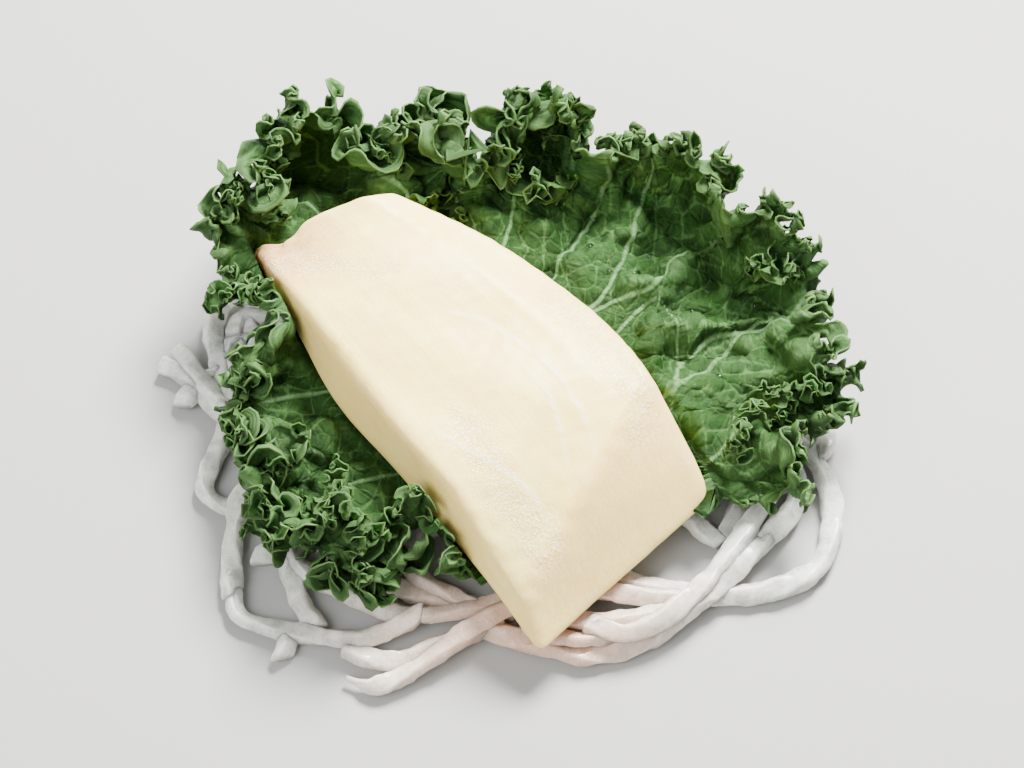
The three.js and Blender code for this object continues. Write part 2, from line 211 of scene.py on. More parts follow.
# Relief of the blade: veins, and lumps as rows of height, wavelength, seed and count of waves. The broad
# lumps have a height at the leaf's middle and how much more at its rim.
RELIEF = {
    "fade": (0.8, 1), "vein_width": 0.2, "vein_wider": 0.22, "vein_height": 0.16, "vein_below": 1.2,
    "broad": [(1.0, 4.6, 31, 9)], "broad_height": (0.25, 0.4), "fine": [(0.14, 1.7, 32, 15)],
    "rim": [(0.13, 2.0, 33, 15)], "grown": (0.2, 0.5), "rim_grown": (0.72, 0.88), "reach": 3.0,
    # Distances from the slice over which the relief comes in, and over which the leaf gets painted shadow
    # from the slice
    "clear": (0, 3), "shaded": (0, 5),
}

# Waves of the leaf's margin, large ones first: each rides on the one before
SWELL = {
    "waves": 13, "size": 3.0, "meander": 0.45, "drift": 1.3, "drifts": 3, "lean": 1.6,
    "uneven": 0.35, "patches": 5, "phase": 0.4,
}
WAVE_VALUES = ("waves", "flare", "band", "meander", "drift", "drifts", "lean", "uneven", "patches", "phase")
RUFFLES = [dict(zip(WAVE_VALUES, row)) for row in (
    (37, 24, 0.7, 0.4, 1.9, 5, 3.0, 0.35, 8, 1.9),
    (103, 46, 0.55, 0.3, 2.6, 7, 4.0, 0.4, 13, 0.7),
    (269, 48, 0.28, 0.16, 3.1, 11, 5.0, 0.5, 21, 2.9),
    (587, 48, 0.11, 0.08, 4.1, 17, 6.0, 0.5, 34, 1.2),
)]

# Side lobes that rise from the blade: angle and share of their foot, heading from outwards, lift,
# length and spread
LOBES = [
    (101, 0.68, 178, 24, 7.5, 54), (99, 0.80, 172, 34, 7.5, 50), (106, 0.76, 190, 30, 6.5, 48),
    (111, 0.90, 172, 28, 8.0, 50), (89, 0.84, 184, 30, 6.5, 44), (79, 0.71, 178, 22, 9.0, 36),
    (75, 0.92, 182, 30, 6.5, 46), (123, 0.95, 178, 16, 6.0, 62), (133, 0.92, 176, 20, 5.5, 58),
    (141, 0.86, 90, 24, 7.0, 50), (150, 0.93, 60, 26, 5.0, 56),
    (160, 0.88, 30, 24, 6.5, 56), (194, 0.80, 12, 22, 7.5, 50), (201, 0.84, 350, 24, 7.5, 52),
    (208, 0.72, 14, 26, 8.5, 50), (216, 0.78, 356, 24, 8.5, 50), (217, 0.64, 84, 24, 8.0, 56),
    (228, 0.72, 30, 24, 9.0, 46), (236, 0.84, 350, 24, 7.0, 52), (248, 0.84, 12, 22, 6.5, 54),
    (350, 0.70, 14, 26, 6.5, 48), (343, 0.78, 330, 24, 6.5, 50), (19, 0.84, 64, 30, 6.5, 50),
    (357, 0.90, 100, 28, 6.5, 50),
]

# Pieces that the lobes are joined into, each with its first lobe and the one after its last
LOBE_PARTS = {"kale_leaf_far_lobes": (0, 14), "kale_leaf_near_lobes": (14, 24)}
LOBE = {
    "columns": 160, "rings": 14, "crowding": 0.62, "rise": 0.2, "crown": 0.5, "thickness": (0.3, 0.12),
    "sunk": 0.3, "lumps": [(0.26, 3.1, 900, 9), (0.143, 1.5, 950, 15)], "jags": [(0.05, 9), (0.025, 31)],
    "jags_from": 0.6, "lumps_over": (0.1, 0.6), "round_off": 0.3, "lag": 1.5, "waver": (0.8, 1.6),
    "wavers": (2, 5), "patchy": 0.5, "patches": (4, 9), "seed": 500, "share_from": 0.7,
    "ribs": 1.5, "rib_most": 9, "rib_fade": 0.6, "fade_over": (0.4, 0.8), "puff": 0.6,
    "puff_over": (0.1, 1.2), "apart": 20,
}
LOBE_RUFFLES = [dict(zip(WAVE_VALUES, row)) for row in (
    (1.7, 24, 0.95, 0.3), (4.3, 36, 0.55, 0.25), (11.0, 46, 0.34, 0.2), (27.0, 46, 0.16, 0.1),
)]

# Teeth of the leaf's edge, as waves of several counts that sway
TOOTH = {"size": 0.008, "start": 0.92, "waves": (61, 97, 149, 211), "sway": (2, 7)}

# Veins of the leaf, in millimetres from the leaf's centre: the midrib, then where side veins leave it and end
MIDRIB = [(24, -17), (17.5, -6), (9, 6), (0, 14), (-10, 22), (-22, 35)]
SIDE_VEINS = [
    [(19, -8.5), (24.4, 2.8), (30.8, 4.9), (40, 6)],
    [(17, -5), (21.5, -3.1), (26.9, 1.1), (30, 3.9), (38, 10)],
    [(12, 1.5), (20, 10.3), (22.7, 3.9), (22.8, -0.2), (22, -5)],
    [(9, 6), (13.5, 9.3), (19, 11), (24.7, 16), (30.4, 18.5), (38, 20)],
    [(8, 7), (13.2, 10.3), (16.3, 17.3), (19.3, 24.6), (25, 34)],
    [(5, 10), (8.2, 15.3), (12, 22.5), (14.7, 30.5), (16.1, 38)],
    [(0, 14), (1.1, 18.8), (2.6, 25.3), (3, 37)],
    [(-5, 18), (-5, 26), (-9, 35), (-10, 40)],
    [(-2, 16), (-16, 18), (-27, 24), (-36, 26)],
    [(5, 10), (-10, 10), (-25, 8), (-38, 6)],
    [(10, 5), (-4, 0), (-20, -3), (-36, -6)],
    [(14, 0), (2, -9), (-14, -15), (-28, -22)],
    [(18, -7), (4, -16), (-6, -24), (-12, -33)],
    [(21, -12), (10, -20), (4, -26), (2, -32)],
    [(23, -15), (30, -9), (36, -6), (44, -8)],
]

# Small veins that leave the others
TWIG = {
    "first": 4.5, "every": 7.5, "length": 8.0, "splay": 46.0, "bend": 14.0, "steps": 5,
    "uneven": (0.6, 1.15), "swing": (-0.8, 0.6),
}

# Radish shreds: half sizes of the cut section, and how uneven the cut is
SHRED = {
    "half_width": 1.28, "half_height": 0.94, "sides": 16, "step": 0.4, "square": 0.42,
    "swells": [(0.08, 9, 15), (0.05, 3, 5)], "sizes": (0.82, 1.06), "end_size": 0.86,
    "end_over": (-0.1, 0.3), "point_size": 0.25, "point_length": 5,
    "lumps": [(0.06, 3.6, 300, 9), (0.05, 1.2, 400, 9)],
    "twist": 0.75, "twist_length": (16, 30), "askew": 0.7, "askew_reach": 2.0, "seed": 100, "apart": 5.0,
}

# Routes of the shreds through the middle of the section, from the photo's left round to its right
ROUTES = [
    [(-28, 14.5, 2.6), (-36, 15.6, 2.8), (-38.2, 12.6, 1.8), (-37.2, 6, 1.2), (-35, 0, 2.4), (-24, -6, 2.8)],
    [(-42.6, 8.8, 1), (-39.6, 4, 2.2), (-36.4, -0.6, 3.2), (-25, -9, 2.6)],
    [(-44.8, 6.6, 1), (-40.6, 4.2, 1), (-36.5, -0.8, 1), (-26, -6.5, 1.6)],
    [(-41.7, 0.6, 1), (-40.8, 2.4, 1), (-37, 5.6, 1.2)],
    [(-32.8, 16, 1), (-33.8, 12.6, 1), (-31, 7.5, 1.4), (-26, 2, 2)],
    [(-22, 12, 2.2), (-32.6, 8, 2.6), (-33.4, 3, 2.2), (-23, -2, 2.4)],
    [(-27, 13.5, 1.2), (-34.8, 13.2, 1), (-35.4, 8, 1), (-34.4, 2, 1.2), (-28, -3, 1.4)],
    [(-30, 11, 1), (-36, 9.6, 1), (-36.6, 4, 1), (-33, -2, 1)],
    [
        (-35.6, 0.6, 1), (-37, -5.5, 1), (-38.5, -11.2, 1), (-36.6, -13.2, 1), (-31, -15.2, 1.8),
        (-25, -16, 2.6),
    ],
    [(-28, -9.5, 2.8), (-33.4, -12.6, 2.8), (-34.6, -18, 1.4), (-34.6, -26.4, 1)],
    [(-34.5, -25.2, 1), (-33.4, -28.6, 1), (-25.4, -31, 1), (-18, -31.8, 1.6), (-11, -29, 2.6)],
    [(-22, -14, 2.6), (-27.2, -20, 1.8), (-26.6, -25.4, 1), (-24, -30.2, 1)],
    [(-22, -13, 3), (-27, -20.8, 2.4), (-21.7, -25.4, 2), (-13, -29, 2.2), (-4, -28, 2.4), (4, -25, 2.6)],
    [(-32.1, -20.4, 1), (-28, -19.8, 1), (-20, -17, 1.4)],
    [(-17, -16, 2.4), (-18.6, -22.6, 2.2), (-11, -25.8, 1.2), (0, -27.8, 1)],
    [(-11, -15, 2.6), (-12.6, -22.6, 2.6), (-6.6, -26.6, 2), (-2, -28.6, 1.4)],
    [(-20.7, -33, 1), (-15, -34.7, 1), (-8.8, -32.6, 1), (-1, -29.2, 1)],
    [(-20.2, -36.8, 1), (-16.8, -38, 1), (-10.1, -34.8, 1.8), (-4, -30.4, 3), (4, -26, 3)],
    [(-28.1, -34.2, 0.8), (-27.7, -32.7, 0.8), (-27.4, -31.2, 0.7)],
    [
        (-5.2, -29.8, 1), (2.7, -32.3, 1), (10, -33.9, 1), (17, -31.4, 1.2), (23.2, -27, 2.2),
        (31.8, -18.2, 1.8),
    ],
    [(31, -19, 1.9), (34.8, -14.6, 1.6), (35.8, -10.4, 2), (32, -5.4, 2.8), (26, -1, 2.8)],
    [(9, -30.6, 3.2), (14.4, -31.8, 3.2), (22, -27, 3.4), (30.2, -15.7, 2.6), (33, -9.8, 3), (30, -3, 3)],
    [
        (31, -2.4, 2.2), (37.8, -7.4, 2), (40, -14, 1), (37.8, -22, 1), (30, -25.6, 1), (21, -25.6, 1.2),
        (9, -23, 2.6),
    ],
    [(5, -9, 2.4), (9.5, -16, 1.6), (13, -25, 1.6)],
    [(2, -24, 3), (13.5, -26.5, 3), (22, -27, 1.6)],
    [(2, -29.2, 3), (10.8, -30.2, 3), (20.4, -28, 2.4)],
    [(1, -30.6, 2.8), (8.3, -32.4, 2.6), (17.8, -29.4, 1.2)],
    [(15, -9, 2.8), (22.4, -15.9, 1.6), (26, -18.8, 1.1)],
    [(26, -4, 1.4), (28.4, -12.6, 1), (26, -18.4, 1)],
    [(26, 1, 2.2), (33, -3.2, 2.2), (39.4, -3.6, 1.6), (38.6, -7.6, 1.8)],
]

# The route that starts in a point
POINTED_ROUTE = 17

# Mound under the leaf, and the shreds that wander over it
MOUND = {
    "share_of_leaf": 0.8, "core": 0.86, "core_sink": 0.5, "gap": 1.1, "rings": 14, "around": 96,
    "fall_from": 0.4, "edge_height": 0.6, "lumps": [(0.25, 2.6, 77, 9)], "least": 0.1,
}
TANGLE = {
    "count": 64, "points": 7, "stride": 4.6, "turn": 0.75, "sink": 0.85, "reach": 0.84,
    "start": 0.02, "fewest": 4, "level": (-0.3, 0.15), "waver": (-0.25, 0.25),
}
RIM = {
    "count": 44, "from": -20, "to": 200, "stride": 7.0, "share": (0.78, 0.98), "layers": (1.0, 2.6),
    "slant": (-0.05, 0.05), "points": (3, 7), "level": (-0.3, 0.3), "waver": (-0.03, 0.03),
}

# Least height of a shred's middle
LOWEST_ROUTE = 1.0

# Painted warm reflection: pink tint of the shreds beside the slice's near end, where light thrown back from
# the slice falls, in millimetres across and towards the viewer
WARM_REFLECTION = {"place": 2, "wide": 18, "near": (20, 26)}

# Shape of a drop: share of its radius in height, how far its skin curves in under, and how uneven it is
DROP = {"rings": 7, "around": 16, "flat": 0.62, "past_level": 1.15, "uneven": 0.12, "lift": 0.12}

# Water drops on the leaf: angle in degrees, share of the way out, radius in millimetres
DROPS = [
    (56, 0.53, 0.55), (45, 0.47, 0.4), (39, 0.52, 0.5), (36, 0.5, 0.35), (16, 0.6, 0.45),
    (358, 0.62, 0.5), (22, 0.86, 0.5), (16, 0.8, 0.4), (48, 0.66, 0.3), (5, 0.72, 0.35),
    (50, 0.56, 0.22), (42, 0.6, 0.26), (31, 0.56, 0.24), (27, 0.64, 0.3), (12, 0.56, 0.22), (8, 0.62, 0.26),
    (352, 0.7, 0.24), (346, 0.6, 0.28), (64, 0.6, 0.24), (20, 0.5, 0.2), (34, 0.74, 0.26),
]

random = np.random.default_rng(11)


# Plain helpers

def smoothstep(value, low, high):
    t = np.clip((value - low) / (high - low), 0, 1)
    return t * t * (3 - 2 * t)


def mix(a, b, t):
    return a + (b - a) * t


def unit(vectors):
    return vectors / np.maximum(np.linalg.norm(vectors, axis=-1, keepdims=True), 1e-12)


def linear(red, green, blue):
    """Colour for a shader from the 0 to 255 values seen on a screen."""
    values = [channel / 255 for channel in (red, green, blue)]
    curved = [v / 12.92 if v <= 0.04045 else ((v + 0.055) / 1.055) ** 2.4 for v in values]
    return (*curved, 1.0)


def hump(value, wide, place=0.0):
    """One at a place, and less and less on both sides of it."""
    return np.exp(-(((value - place) / wide) ** 2))


def ripple(points, wavelength, seed, count):
    """Smooth uneven values between about -1 and 1, with bumps about a wavelength apart."""
    draw = np.random.default_rng(seed)
    total = np.zeros(points.shape[:-1])
    for _ in range(count):
        direction = unit(draw.normal(size=points.shape[-1]))
        stretch = draw.uniform(0.7, 1.4)
        total += np.sin(points @ direction * TURN * stretch / wavelength + draw.uniform(0, TURN))
    return total / math.sqrt(count)


def lumps(points, rows, shift=0):
    """Ripples of several sizes together: height, wavelength, seed and count of waves of each."""
    return sum(height * ripple(points, length, seed + shift, count) for height, length, seed, count in rows)


def segment_gap(x, y, start, end):
    """Distance in plan from the straight line between two points."""
    (ax, ay), (bx, by) = start, end
    ex, ey = bx - ax, by - ay
    t = np.clip(((x - ax) * ex + (y - ay) * ey) / (ex * ex + ey * ey), 0, 1)
    return np.hypot(x - ax - t * ex, y - ay - t * ey)


def line_gap(line, x, y):
    """Distance in plan from a line of points."""
    gap = np.full(x.shape, np.inf)
    for start, end in zip(line, line[1:]):
        gap = np.minimum(gap, segment_gap(x, y, start, end))
    return gap


def curve_between(a, b, c, d, t):
    """Smooth curve from b to c, led by their neighbours a and d."""
    return b + 0.5 * t * (c - a + t * (2 * a - 5 * b + 4 * c - d + t * (3 * (b - c) + d - a)))


def with_ends(points):
    """The points and one more at each end, straight on."""
    points = np.array(points, float)
    return np.concatenate([[2 * points[0] - points[1]], points, [2 * points[-1] - points[-2]]])


def bent_line(points, steps):
    """Smooth line through a few points of the plan."""
    padded = with_ends(points)
    t = np.linspace(0, 1, steps, endpoint=False)[:, None]
    parts = [curve_between(*near, t) for near in zip(padded, padded[1:], padded[2:], padded[3:])]
    return np.concatenate([*parts, padded[-2:-1]])


def run_along(line):
    """Length of a line up to each of its points."""
    return np.concatenate([[0], np.cumsum(np.linalg.norm(np.diff(line, axis=0), axis=1))])


def tube_faces(rings, around):
    """Quads between closed rings of points."""
    number = np.arange(rings * around).reshape(rings, around)
    after = np.roll(number, -1, axis=1)
    return np.stack([number[:-1], number[1:], after[1:], after[:-1]], axis=-1).reshape(-1, 4).tolist()


def make_joined(name, parts):
    """One mesh object from parts that each give points, faces and the values of the attributes."""
    faces, start = [], 0
    for points, part_faces, _ in parts:
        faces += [[index + start for index in face] for face in part_faces]
        start += len(points)
    attributes = {key: np.concatenate([values[key] for _, _, values in parts]) for key in parts[0][2]}
    return make_piece(name, np.concatenate([points for points, _, _ in parts]), faces, attributes)


def make_piece(name, points, faces, attributes):
    """Mesh object from points in drawing millimetres."""
    mesh = bpy.data.meshes.new(name)
    placed = (np.asarray(points) - MIDDLE) * MM
    mesh.from_pydata(placed.tolist(), [], [tuple(face) for face in faces])
    for key, values in attributes.items():
        values = np.asarray(values, np.float32)
        kind = "FLOAT" if values.ndim == 1 else "FLOAT_VECTOR"
        layer = mesh.attributes.new(key, kind, "POINT")
        layer.data.foreach_set("value" if kind == "FLOAT" else "vector", values.ravel())
    mesh.shade_smooth()
    mesh.validate()
    piece = bpy.data.objects.new(name, mesh)
    bpy.context.scene.collection.objects.link(piece)
    return piece


# Slice of tuna

def cubic(edge, t):
    a, b, c, d = (np.array(point, float) for point in edge)
    s = 1 - t[..., None]
    t = t[..., None]
    return s**3 * a + 3 * s * s * t * b + 3 * s * t * t * c + t**3 * d


def underside(x, y):
    far, near = np.array(REST["far_end"]), np.array(REST["near_end"])
    run = near - far
    along = ((x - far[0]) * run[0] + (y - far[1]) * run[1]) / (run @ run)
    level = mix(REST["far_height"], REST["near_height"], along)
    return level - REST["dip"] * smoothstep(along, REST["dip_from"], 1)


def slice_thickness(across, along):
    left = (1 - across) / 2
    near_end = SLICE["near_end_extra"] * smoothstep(along, 0, 1)
    crown = SLICE["crown"] * (1 - across * across)
    edge = SLICE["shoulder"]
    shoulder = edge["drop"] * smoothstep(across, *edge["across"]) * smoothstep(1 - along, *edge["from_end"])
    total = SLICE["thickness"] + near_end + crown - shoulder
    for tip, way in ((SLICE["far_tip"], -along), (SLICE["near_tip"], along)):
        total = total - tip["loss"] * left ** tip["power"] * smoothstep(way, tip["start"], 1)
    return total


def slice_points(across, along, up):
    t, side, level = (along + 1) / 2, (across + 1) / 2, ((up + 1) / 2)[..., None]
    bulge = SLICE["bulge"]
    swell = bulge["size"] * hump(t, bulge["wide"], bulge["place"]) * (1 - level[..., 0])
    left = mix(cubic(SLICE["low_left"], t), cubic(SLICE["top_left"], t), level)
    left = left + swell[..., None] * np.array(bulge["heading"])
    right = mix(cubic(SLICE["low_right"], t), cubic(SLICE["top_right"], t), level)
    plan = mix(left, right, side[..., None])
    height = underside(plan[..., 0], plan[..., 1]) + level[..., 0] * slice_thickness(across, along)
    return np.concatenate([plan, height[..., None]], axis=-1)


def box_skin(segments):
    """Points on the skin of a box from -1 to 1, with shared corners, and its quads."""
    keys, quads, index = [], [], {}

    def corner(key):
        if key not in index:
            index[key] = len(keys)
            keys.append(key)
        return index[key]

    for axis in range(3):
        u, v = (axis + 1) % 3, (axis + 2) % 3
        for end in (0, segments[axis]):
            for i in range(segments[u]):
                for j in range(segments[v]):
                    ring = [(i, j), (i + 1, j), (i + 1, j + 1), (i, j + 1)]
                    quad = []
                    for a, b in ring if end else ring[::-1]:
                        key = [0, 0, 0]
                        key[axis], key[u], key[v] = end, a, b
                        quad.append(corner(tuple(key)))
                    quads.append(quad)
    return np.array(keys) / np.array(segments) * 2 - 1, quads


def mesh_normals(points, quads):
    quads = np.array(quads)
    across = points[quads[:, 2]] - points[quads[:, 0]]
    normals = np.zeros_like(points)
    for corner in range(quads.shape[1]):
        np.add.at(normals, quads[:, corner], np.cross(across, points[quads[:, 3]] - points[quads[:, 1]]))
    return unit(normals)


def rounded_box():
    """Places across, along and up on a box with rounded edges, each from -1 to 1, and its quads."""
    skin, quads = box_skin(SLICE["segments"])
    half, radius = np.array(SLICE["half"]), SLICE["edge_radius"]
    spread = np.sign(skin) * (1 - (1 - np.abs(skin)) ** SLICE["crowding"])
    inner = np.clip(spread * half, -half + radius, half - radius)
    rounded = (inner + unit(spread * half - inner) * radius) / half
    return rounded[:, 0], -rounded[:, 1], rounded[:, 2], [quad[::-1] for quad in quads]


def make_slice():
    across, along, up, quads = rounded_box()
    points = slice_points(across, along, up)
    top = smoothstep(up, *SLICE["top_over"])
    seam = seam_strength(points[:, 0], points[:, 1]) * top
    relief = lumps(points, SLICE["lumps"]) * mix(SLICE["side_lumps"], 1, top) - SLICE["seam_depth"] * seam
    points = points + mesh_normals(points, quads) * relief[:, None]
    tip = smoothstep(-along, *SLICE["tip_along"]) * smoothstep(-across, *SLICE["tip_across"])
    ragged = smoothstep(-along, *SLICE["ragged_along"]) * smoothstep(-across, *SLICE["ragged_across"])
    ragged = ragged * (SLICE["ragged_least"] + lumps(points, SLICE["ragged_lumps"]))
    points = points + np.array(SLICE["ragged_push"]) * ragged[:, None]
    dent = SLICE["dent"]
    sunk = dent["size"] * hump(across, dent["wide"], dent["place"]) * smoothstep(-along, dent["start"], 1)
    points[:, :2] += sunk[:, None] * np.array(dent["heading"])
    attributes = {
        "grain": np.stack([across, along, up], axis=-1) * np.array(SLICE["half"]),
        "tip": tip * mix(SLICE["tip_on_side"], 1, top),
        # Painted shade: the near end face and the lower left side face are marked here so that the flesh
        # colour is darkened on them
        "shaded_end_face": smoothstep(along, *SLICE["shaded_faces_over"]),
        "side": smoothstep(-across, *SLICE["shaded_faces_over"]),
        "seam": seam,
        "wet_glint": wet_glint_strength(points[:, 0], points[:, 1]) * top,
    }
    return make_piece("tuna_slice_flesh", points, quads, attributes)


def wet_glint_strength(x, y):
    return np.max([hump(line_gap(line, x, y), width) for width, line in WET_GLINTS], axis=0)


def seam_strength(x, y):
    """One along the seams, fading within a fraction of a millimetre and towards each seam's ends."""
    total = np.zeros_like(x)
    for seam in SEAMS:
        line = bent_line(seam, 6)
        for k, (start, end) in enumerate(zip(line, line[1:])):
            fade = math.sin(math.pi * (k + 0.5) / (len(line) - 1)) ** SLICE["seam_fade"]
            total = np.maximum(total, fade * hump(segment_gap(x, y, start, end), SLICE["seam_width"]))
    return total


# Kale leaf

def round_leaf(table, angle):
    """Value of a table of the leaf's turn at an angle, smooth between its rows."""
    table = np.array(table, float)
    place = (angle / TURN) % 1 * len(table)
    first = np.floor(place).astype(int)
    return curve_between(*(table[(first + step) % len(table)] for step in (-1, 0, 1, 2)), place - first)


def walk_out(rim_slope, share):
    """How far out and up a share of the way over the leaf leads, and the widest place on it."""
    out, up, widest = (np.zeros(np.broadcast(rim_slope, share).shape) for _ in range(3))
    step = share / LEAF["slope_steps"]
    for i in range(LEAF["slope_steps"]):
        slope = rim_slope * smoothstep((i + 0.5) * step, LEAF["flat_part"], 1)
        out = out + np.cos(slope) * step
        up = up + np.sin(slope) * step
        widest = np.maximum(widest, out)
    return out, up, widest


def footprint(steps=24):
    t = np.linspace(0, 1, steps)
    overhang = np.array([SLICE["top_right"][0]])
    return np.concatenate([cubic(SLICE["low_left"], t), cubic(SLICE["low_right"], t)[::-1], overhang])


FOOTPRINT = footprint()


def beside_slice(x, y):
    """Distance in plan from the slice's outline, less than zero under the slice."""
    nearest = np.full(np.shape(x), np.inf)
    inside = np.zeros(np.shape(x), bool)
    for (ax, ay), (bx, by) in zip(FOOTPRINT, np.roll(FOOTPRINT, -1, axis=0)):
        nearest = np.minimum(nearest, segment_gap(x, y, (ax, ay), (bx, by)))
        if by - ay:
            inside ^= ((ay > y) != (by > y)) & (x < ax + (y - ay) * (bx - ax) / (by - ay))
    return np.where(inside, -nearest, nearest)


def seat_height(x, y):
    pressed = underside(x, y) - LEAF["clearance"]
    return mix(pressed, LEAF["height"], smoothstep(beside_slice(x, y), 0, LEAF["seat_margin"]))


def leaf_scale(angle):
    """Length of the leaf from its middle to its rim, along its surface."""
    angle = angle[:, :1]
    rim_slope = np.radians(round_leaf(LEAF["rim_slope"], angle))
    reach = round_leaf(LEAF["reach"], angle)
    for degrees, wide, longer in LEAF["rim_marks"]:
        reach = reach + longer * hump(np.degrees(angle), wide, degrees)
    return reach / walk_out(rim_slope, np.ones_like(rim_slope))[2]


def plain_leaf(angle, share):
    rim_slope = np.radians(round_leaf(LEAF["rim_slope"], angle))
    scale = leaf_scale(angle)
    out, up, _ = walk_out(rim_slope, share)
    x = LEAF["centre"][0] + np.cos(angle) * out * scale
    y = LEAF["centre"][1] + np.sin(angle) * out * scale
    return np.stack([x, y, seat_height(x, y) + up * scale], axis=-1)


def grid_frame(grid, closed=True):
    """Directions along the rim and square to the surface, for a grid whose first axis goes round."""
    along = np.roll(grid, -1, axis=0) - np.roll(grid, 1, axis=0) if closed else np.gradient(grid, axis=0)
    along = unit(along)
    normal = unit(np.cross(np.gradient(grid, axis=1), along))
    return along, normal


def wave_phase(angle, share, wave):
    drift = wave["drift"] * np.sin(wave["drifts"] * angle + wave["phase"])
    lean = wave["lean"] * (1 - share) * np.sin(2 * angle + wave["phase"])
    return wave["waves"] * angle + drift + lean


def wave_size(angle, wave):
    return 1 + wave["uneven"] * np.sin(wave["patches"] * np.sin(angle) + wave["phase"])


def clear_of_slice(grid, low, high):
    """Zero up to a low distance from the slice, and one from a high distance."""
    return smoothstep(beside_slice(grid[..., 0], grid[..., 1]), low, high)


def calm_near_slice(grid):
    return clear_of_slice(grid, LEAF["calm_from"], LEAF["calm_to"])


def swollen(grid, angle, share):
    """Adds the large waves, square to the surface."""
    grown = smoothstep(share, LEAF["swell_start"], 1) * calm_near_slice(grid)
    along, normal = grid_frame(grid)
    size = SWELL["size"] * grown * wave_size(angle, SWELL)
    phase = wave_phase(angle, share, SWELL)
    moved = grid + normal * (size * np.sin(phase))[..., None]
    return moved - along * (size * SWELL["meander"] * np.sin(2 * phase))[..., None]


def flat_leaf(angle, share):
    """Places on the leaf when it is laid out flat."""
    reach = leaf_scale(angle) * share
    return np.stack([np.cos(angle) * reach, np.sin(angle) * reach, 0 * angle], axis=-1)


def folded(grid, flat):
    """Adds the listed folds, square to the surface."""
    rise = np.zeros(grid.shape[:2])
    for height, width, route in FOLDS:
        degrees, share = np.array(route).T
        line = flat_leaf(np.radians(degrees)[:, None], share[:, None])[:, 0, :2]
        gap = line_gap(bent_line(line, 5), flat[..., 0], flat[..., 1])
        rise += height * np.exp(-((gap / width) ** FOLD_POWER))
    _, normal = grid_frame(grid)
    return grid + normal * (rise * calm_near_slice(grid))[..., None]


def flared(grid, phase, grown, ruffle, closed=True):
    """Turns each outward step of a surface up and down in turn, so that its margin flares and flops over."""
    along, _ = grid_frame(grid, closed)
    tilt = (np.radians(ruffle["flare"]) * grown * np.sin(phase))[:, 1:, None]
    step = np.diff(grid, axis=1)
    axis = along[:, 1:]
    turned = step * np.cos(tilt) + np.cross(step, axis) * np.sin(tilt)
    sway = ruffle["meander"] * grown * np.sin(2 * phase)
    turned -= axis * (sway[:, 1:, None] * np.linalg.norm(step, axis=-1, keepdims=True))
    return np.concatenate([grid[:, :1], grid[:, :1] + np.cumsum(turned, axis=1)], axis=1)


def ruffled(grid, angle, share, ruffle):
    band = round_leaf(LEAF["frill_band"], angle) * ruffle["band"] / leaf_scale(angle)
    grown = smoothstep(share, 1 - band, 1) * calm_near_slice(grid) * wave_size(angle, ruffle)
    return flared(grid, wave_phase(angle, share, ruffle), grown, ruffle)


def pushed_out(x, y, z):
    """Moves points that stand higher than the slice's underside out of its outline."""
    beside = beside_slice(x, y)
    short = LEAF["slice_margin"] - beside
    moved = (short > 0) & (beside > -LEAF["deepest"]) & (z > underside(x, y) + LEAF["over_slice"])
    x, y = x.copy(), y.copy()
    px, py, push = x[moved], y[moved], short[moved]
    nudge = 0.05
    lean = [
        beside_slice(px + nudge, py) - beside_slice(px - nudge, py),
        beside_slice(px, py + nudge) - beside_slice(px, py - nudge),
    ]
    away = unit(np.stack(lean, axis=-1))
    x[moved] += away[:, 0] * push
    y[moved] += away[:, 1] * push
    return x, y


def settled(grid):
    x, y, z = grid[..., 0], grid[..., 1], grid[..., 2]
    gap = z - LEAF["lowest"]
    z = LEAF["lowest"] + (gap + np.hypot(gap, LEAF["lowest_blend"])) / 2
    x, y = pushed_out(x, y, z)
    beside = np.maximum(0, beside_slice(x, y) - LEAF["calm_from"])
    ceiling = underside(x, y) - LEAF["clearance"] + beside * LEAF["clearance_slope"]
    return np.stack([x, y, np.minimum(z, ceiling)], axis=-1)


def twigs_of(line):
    """Small veins that leave a vein to its left and right in turn."""
    lengths = run_along(line)
    found = []
    for number, place in enumerate(np.arange(TWIG["first"], lengths[-1], TWIG["every"] / 2)):
        k = min(np.searchsorted(lengths, place), len(line) - 1)
        sign = 1 if number % 2 else -1
        heading = math.atan2(*(line[k] - line[k - 1])[::-1]) + math.radians(TWIG["splay"]) * sign
        reach = TWIG["length"] * random.uniform(*TWIG["uneven"]) / TWIG["steps"]
        twig = [line[k]]
        for _ in range(TWIG["steps"]):
            twig.append(twig[-1] + reach * np.array([math.cos(heading), math.sin(heading)]))
            heading += math.radians(TWIG["bend"]) * random.uniform(*TWIG["swing"]) * sign
        found.append(np.array(twig))
    return found


def cell_gap(flat, size):
    """Distance across from the seam between the two nearest of many scattered spots."""
    place = flat[..., :2] / size
    home = np.floor(place)
    near = np.full((2, *place.shape[:2]), np.inf)
    for step in np.ndindex(3, 3):
        corner = home + np.array(step) - 1
        swing = np.sin(corner @ np.array(SCATTER["turns"])) * SCATTER["swing"]
        spot = corner + SCATTER["least"] + SCATTER["room"] * (swing - np.floor(swing))
        gap = np.linalg.norm(spot - place, axis=-1)
        near = np.sort(np.stack([*near, gap]), axis=0)[:2]
    return (near[1] - near[0]) * size


def leaf_shares():
    """Shares of the way out at which the leaf has rings, and the column step of each."""
    shares, steps, start = [], [], 0.0
    for end, rings, step, power in LEAF_ZONES:
        places = np.linspace(0, 1, rings, endpoint=end == 1.0)
        shares += list(start + (end - start) * places**power)
        steps += [step] * rings
        start = end
    shares[0] = LEAF["hub_share"]
    return np.array(shares), steps


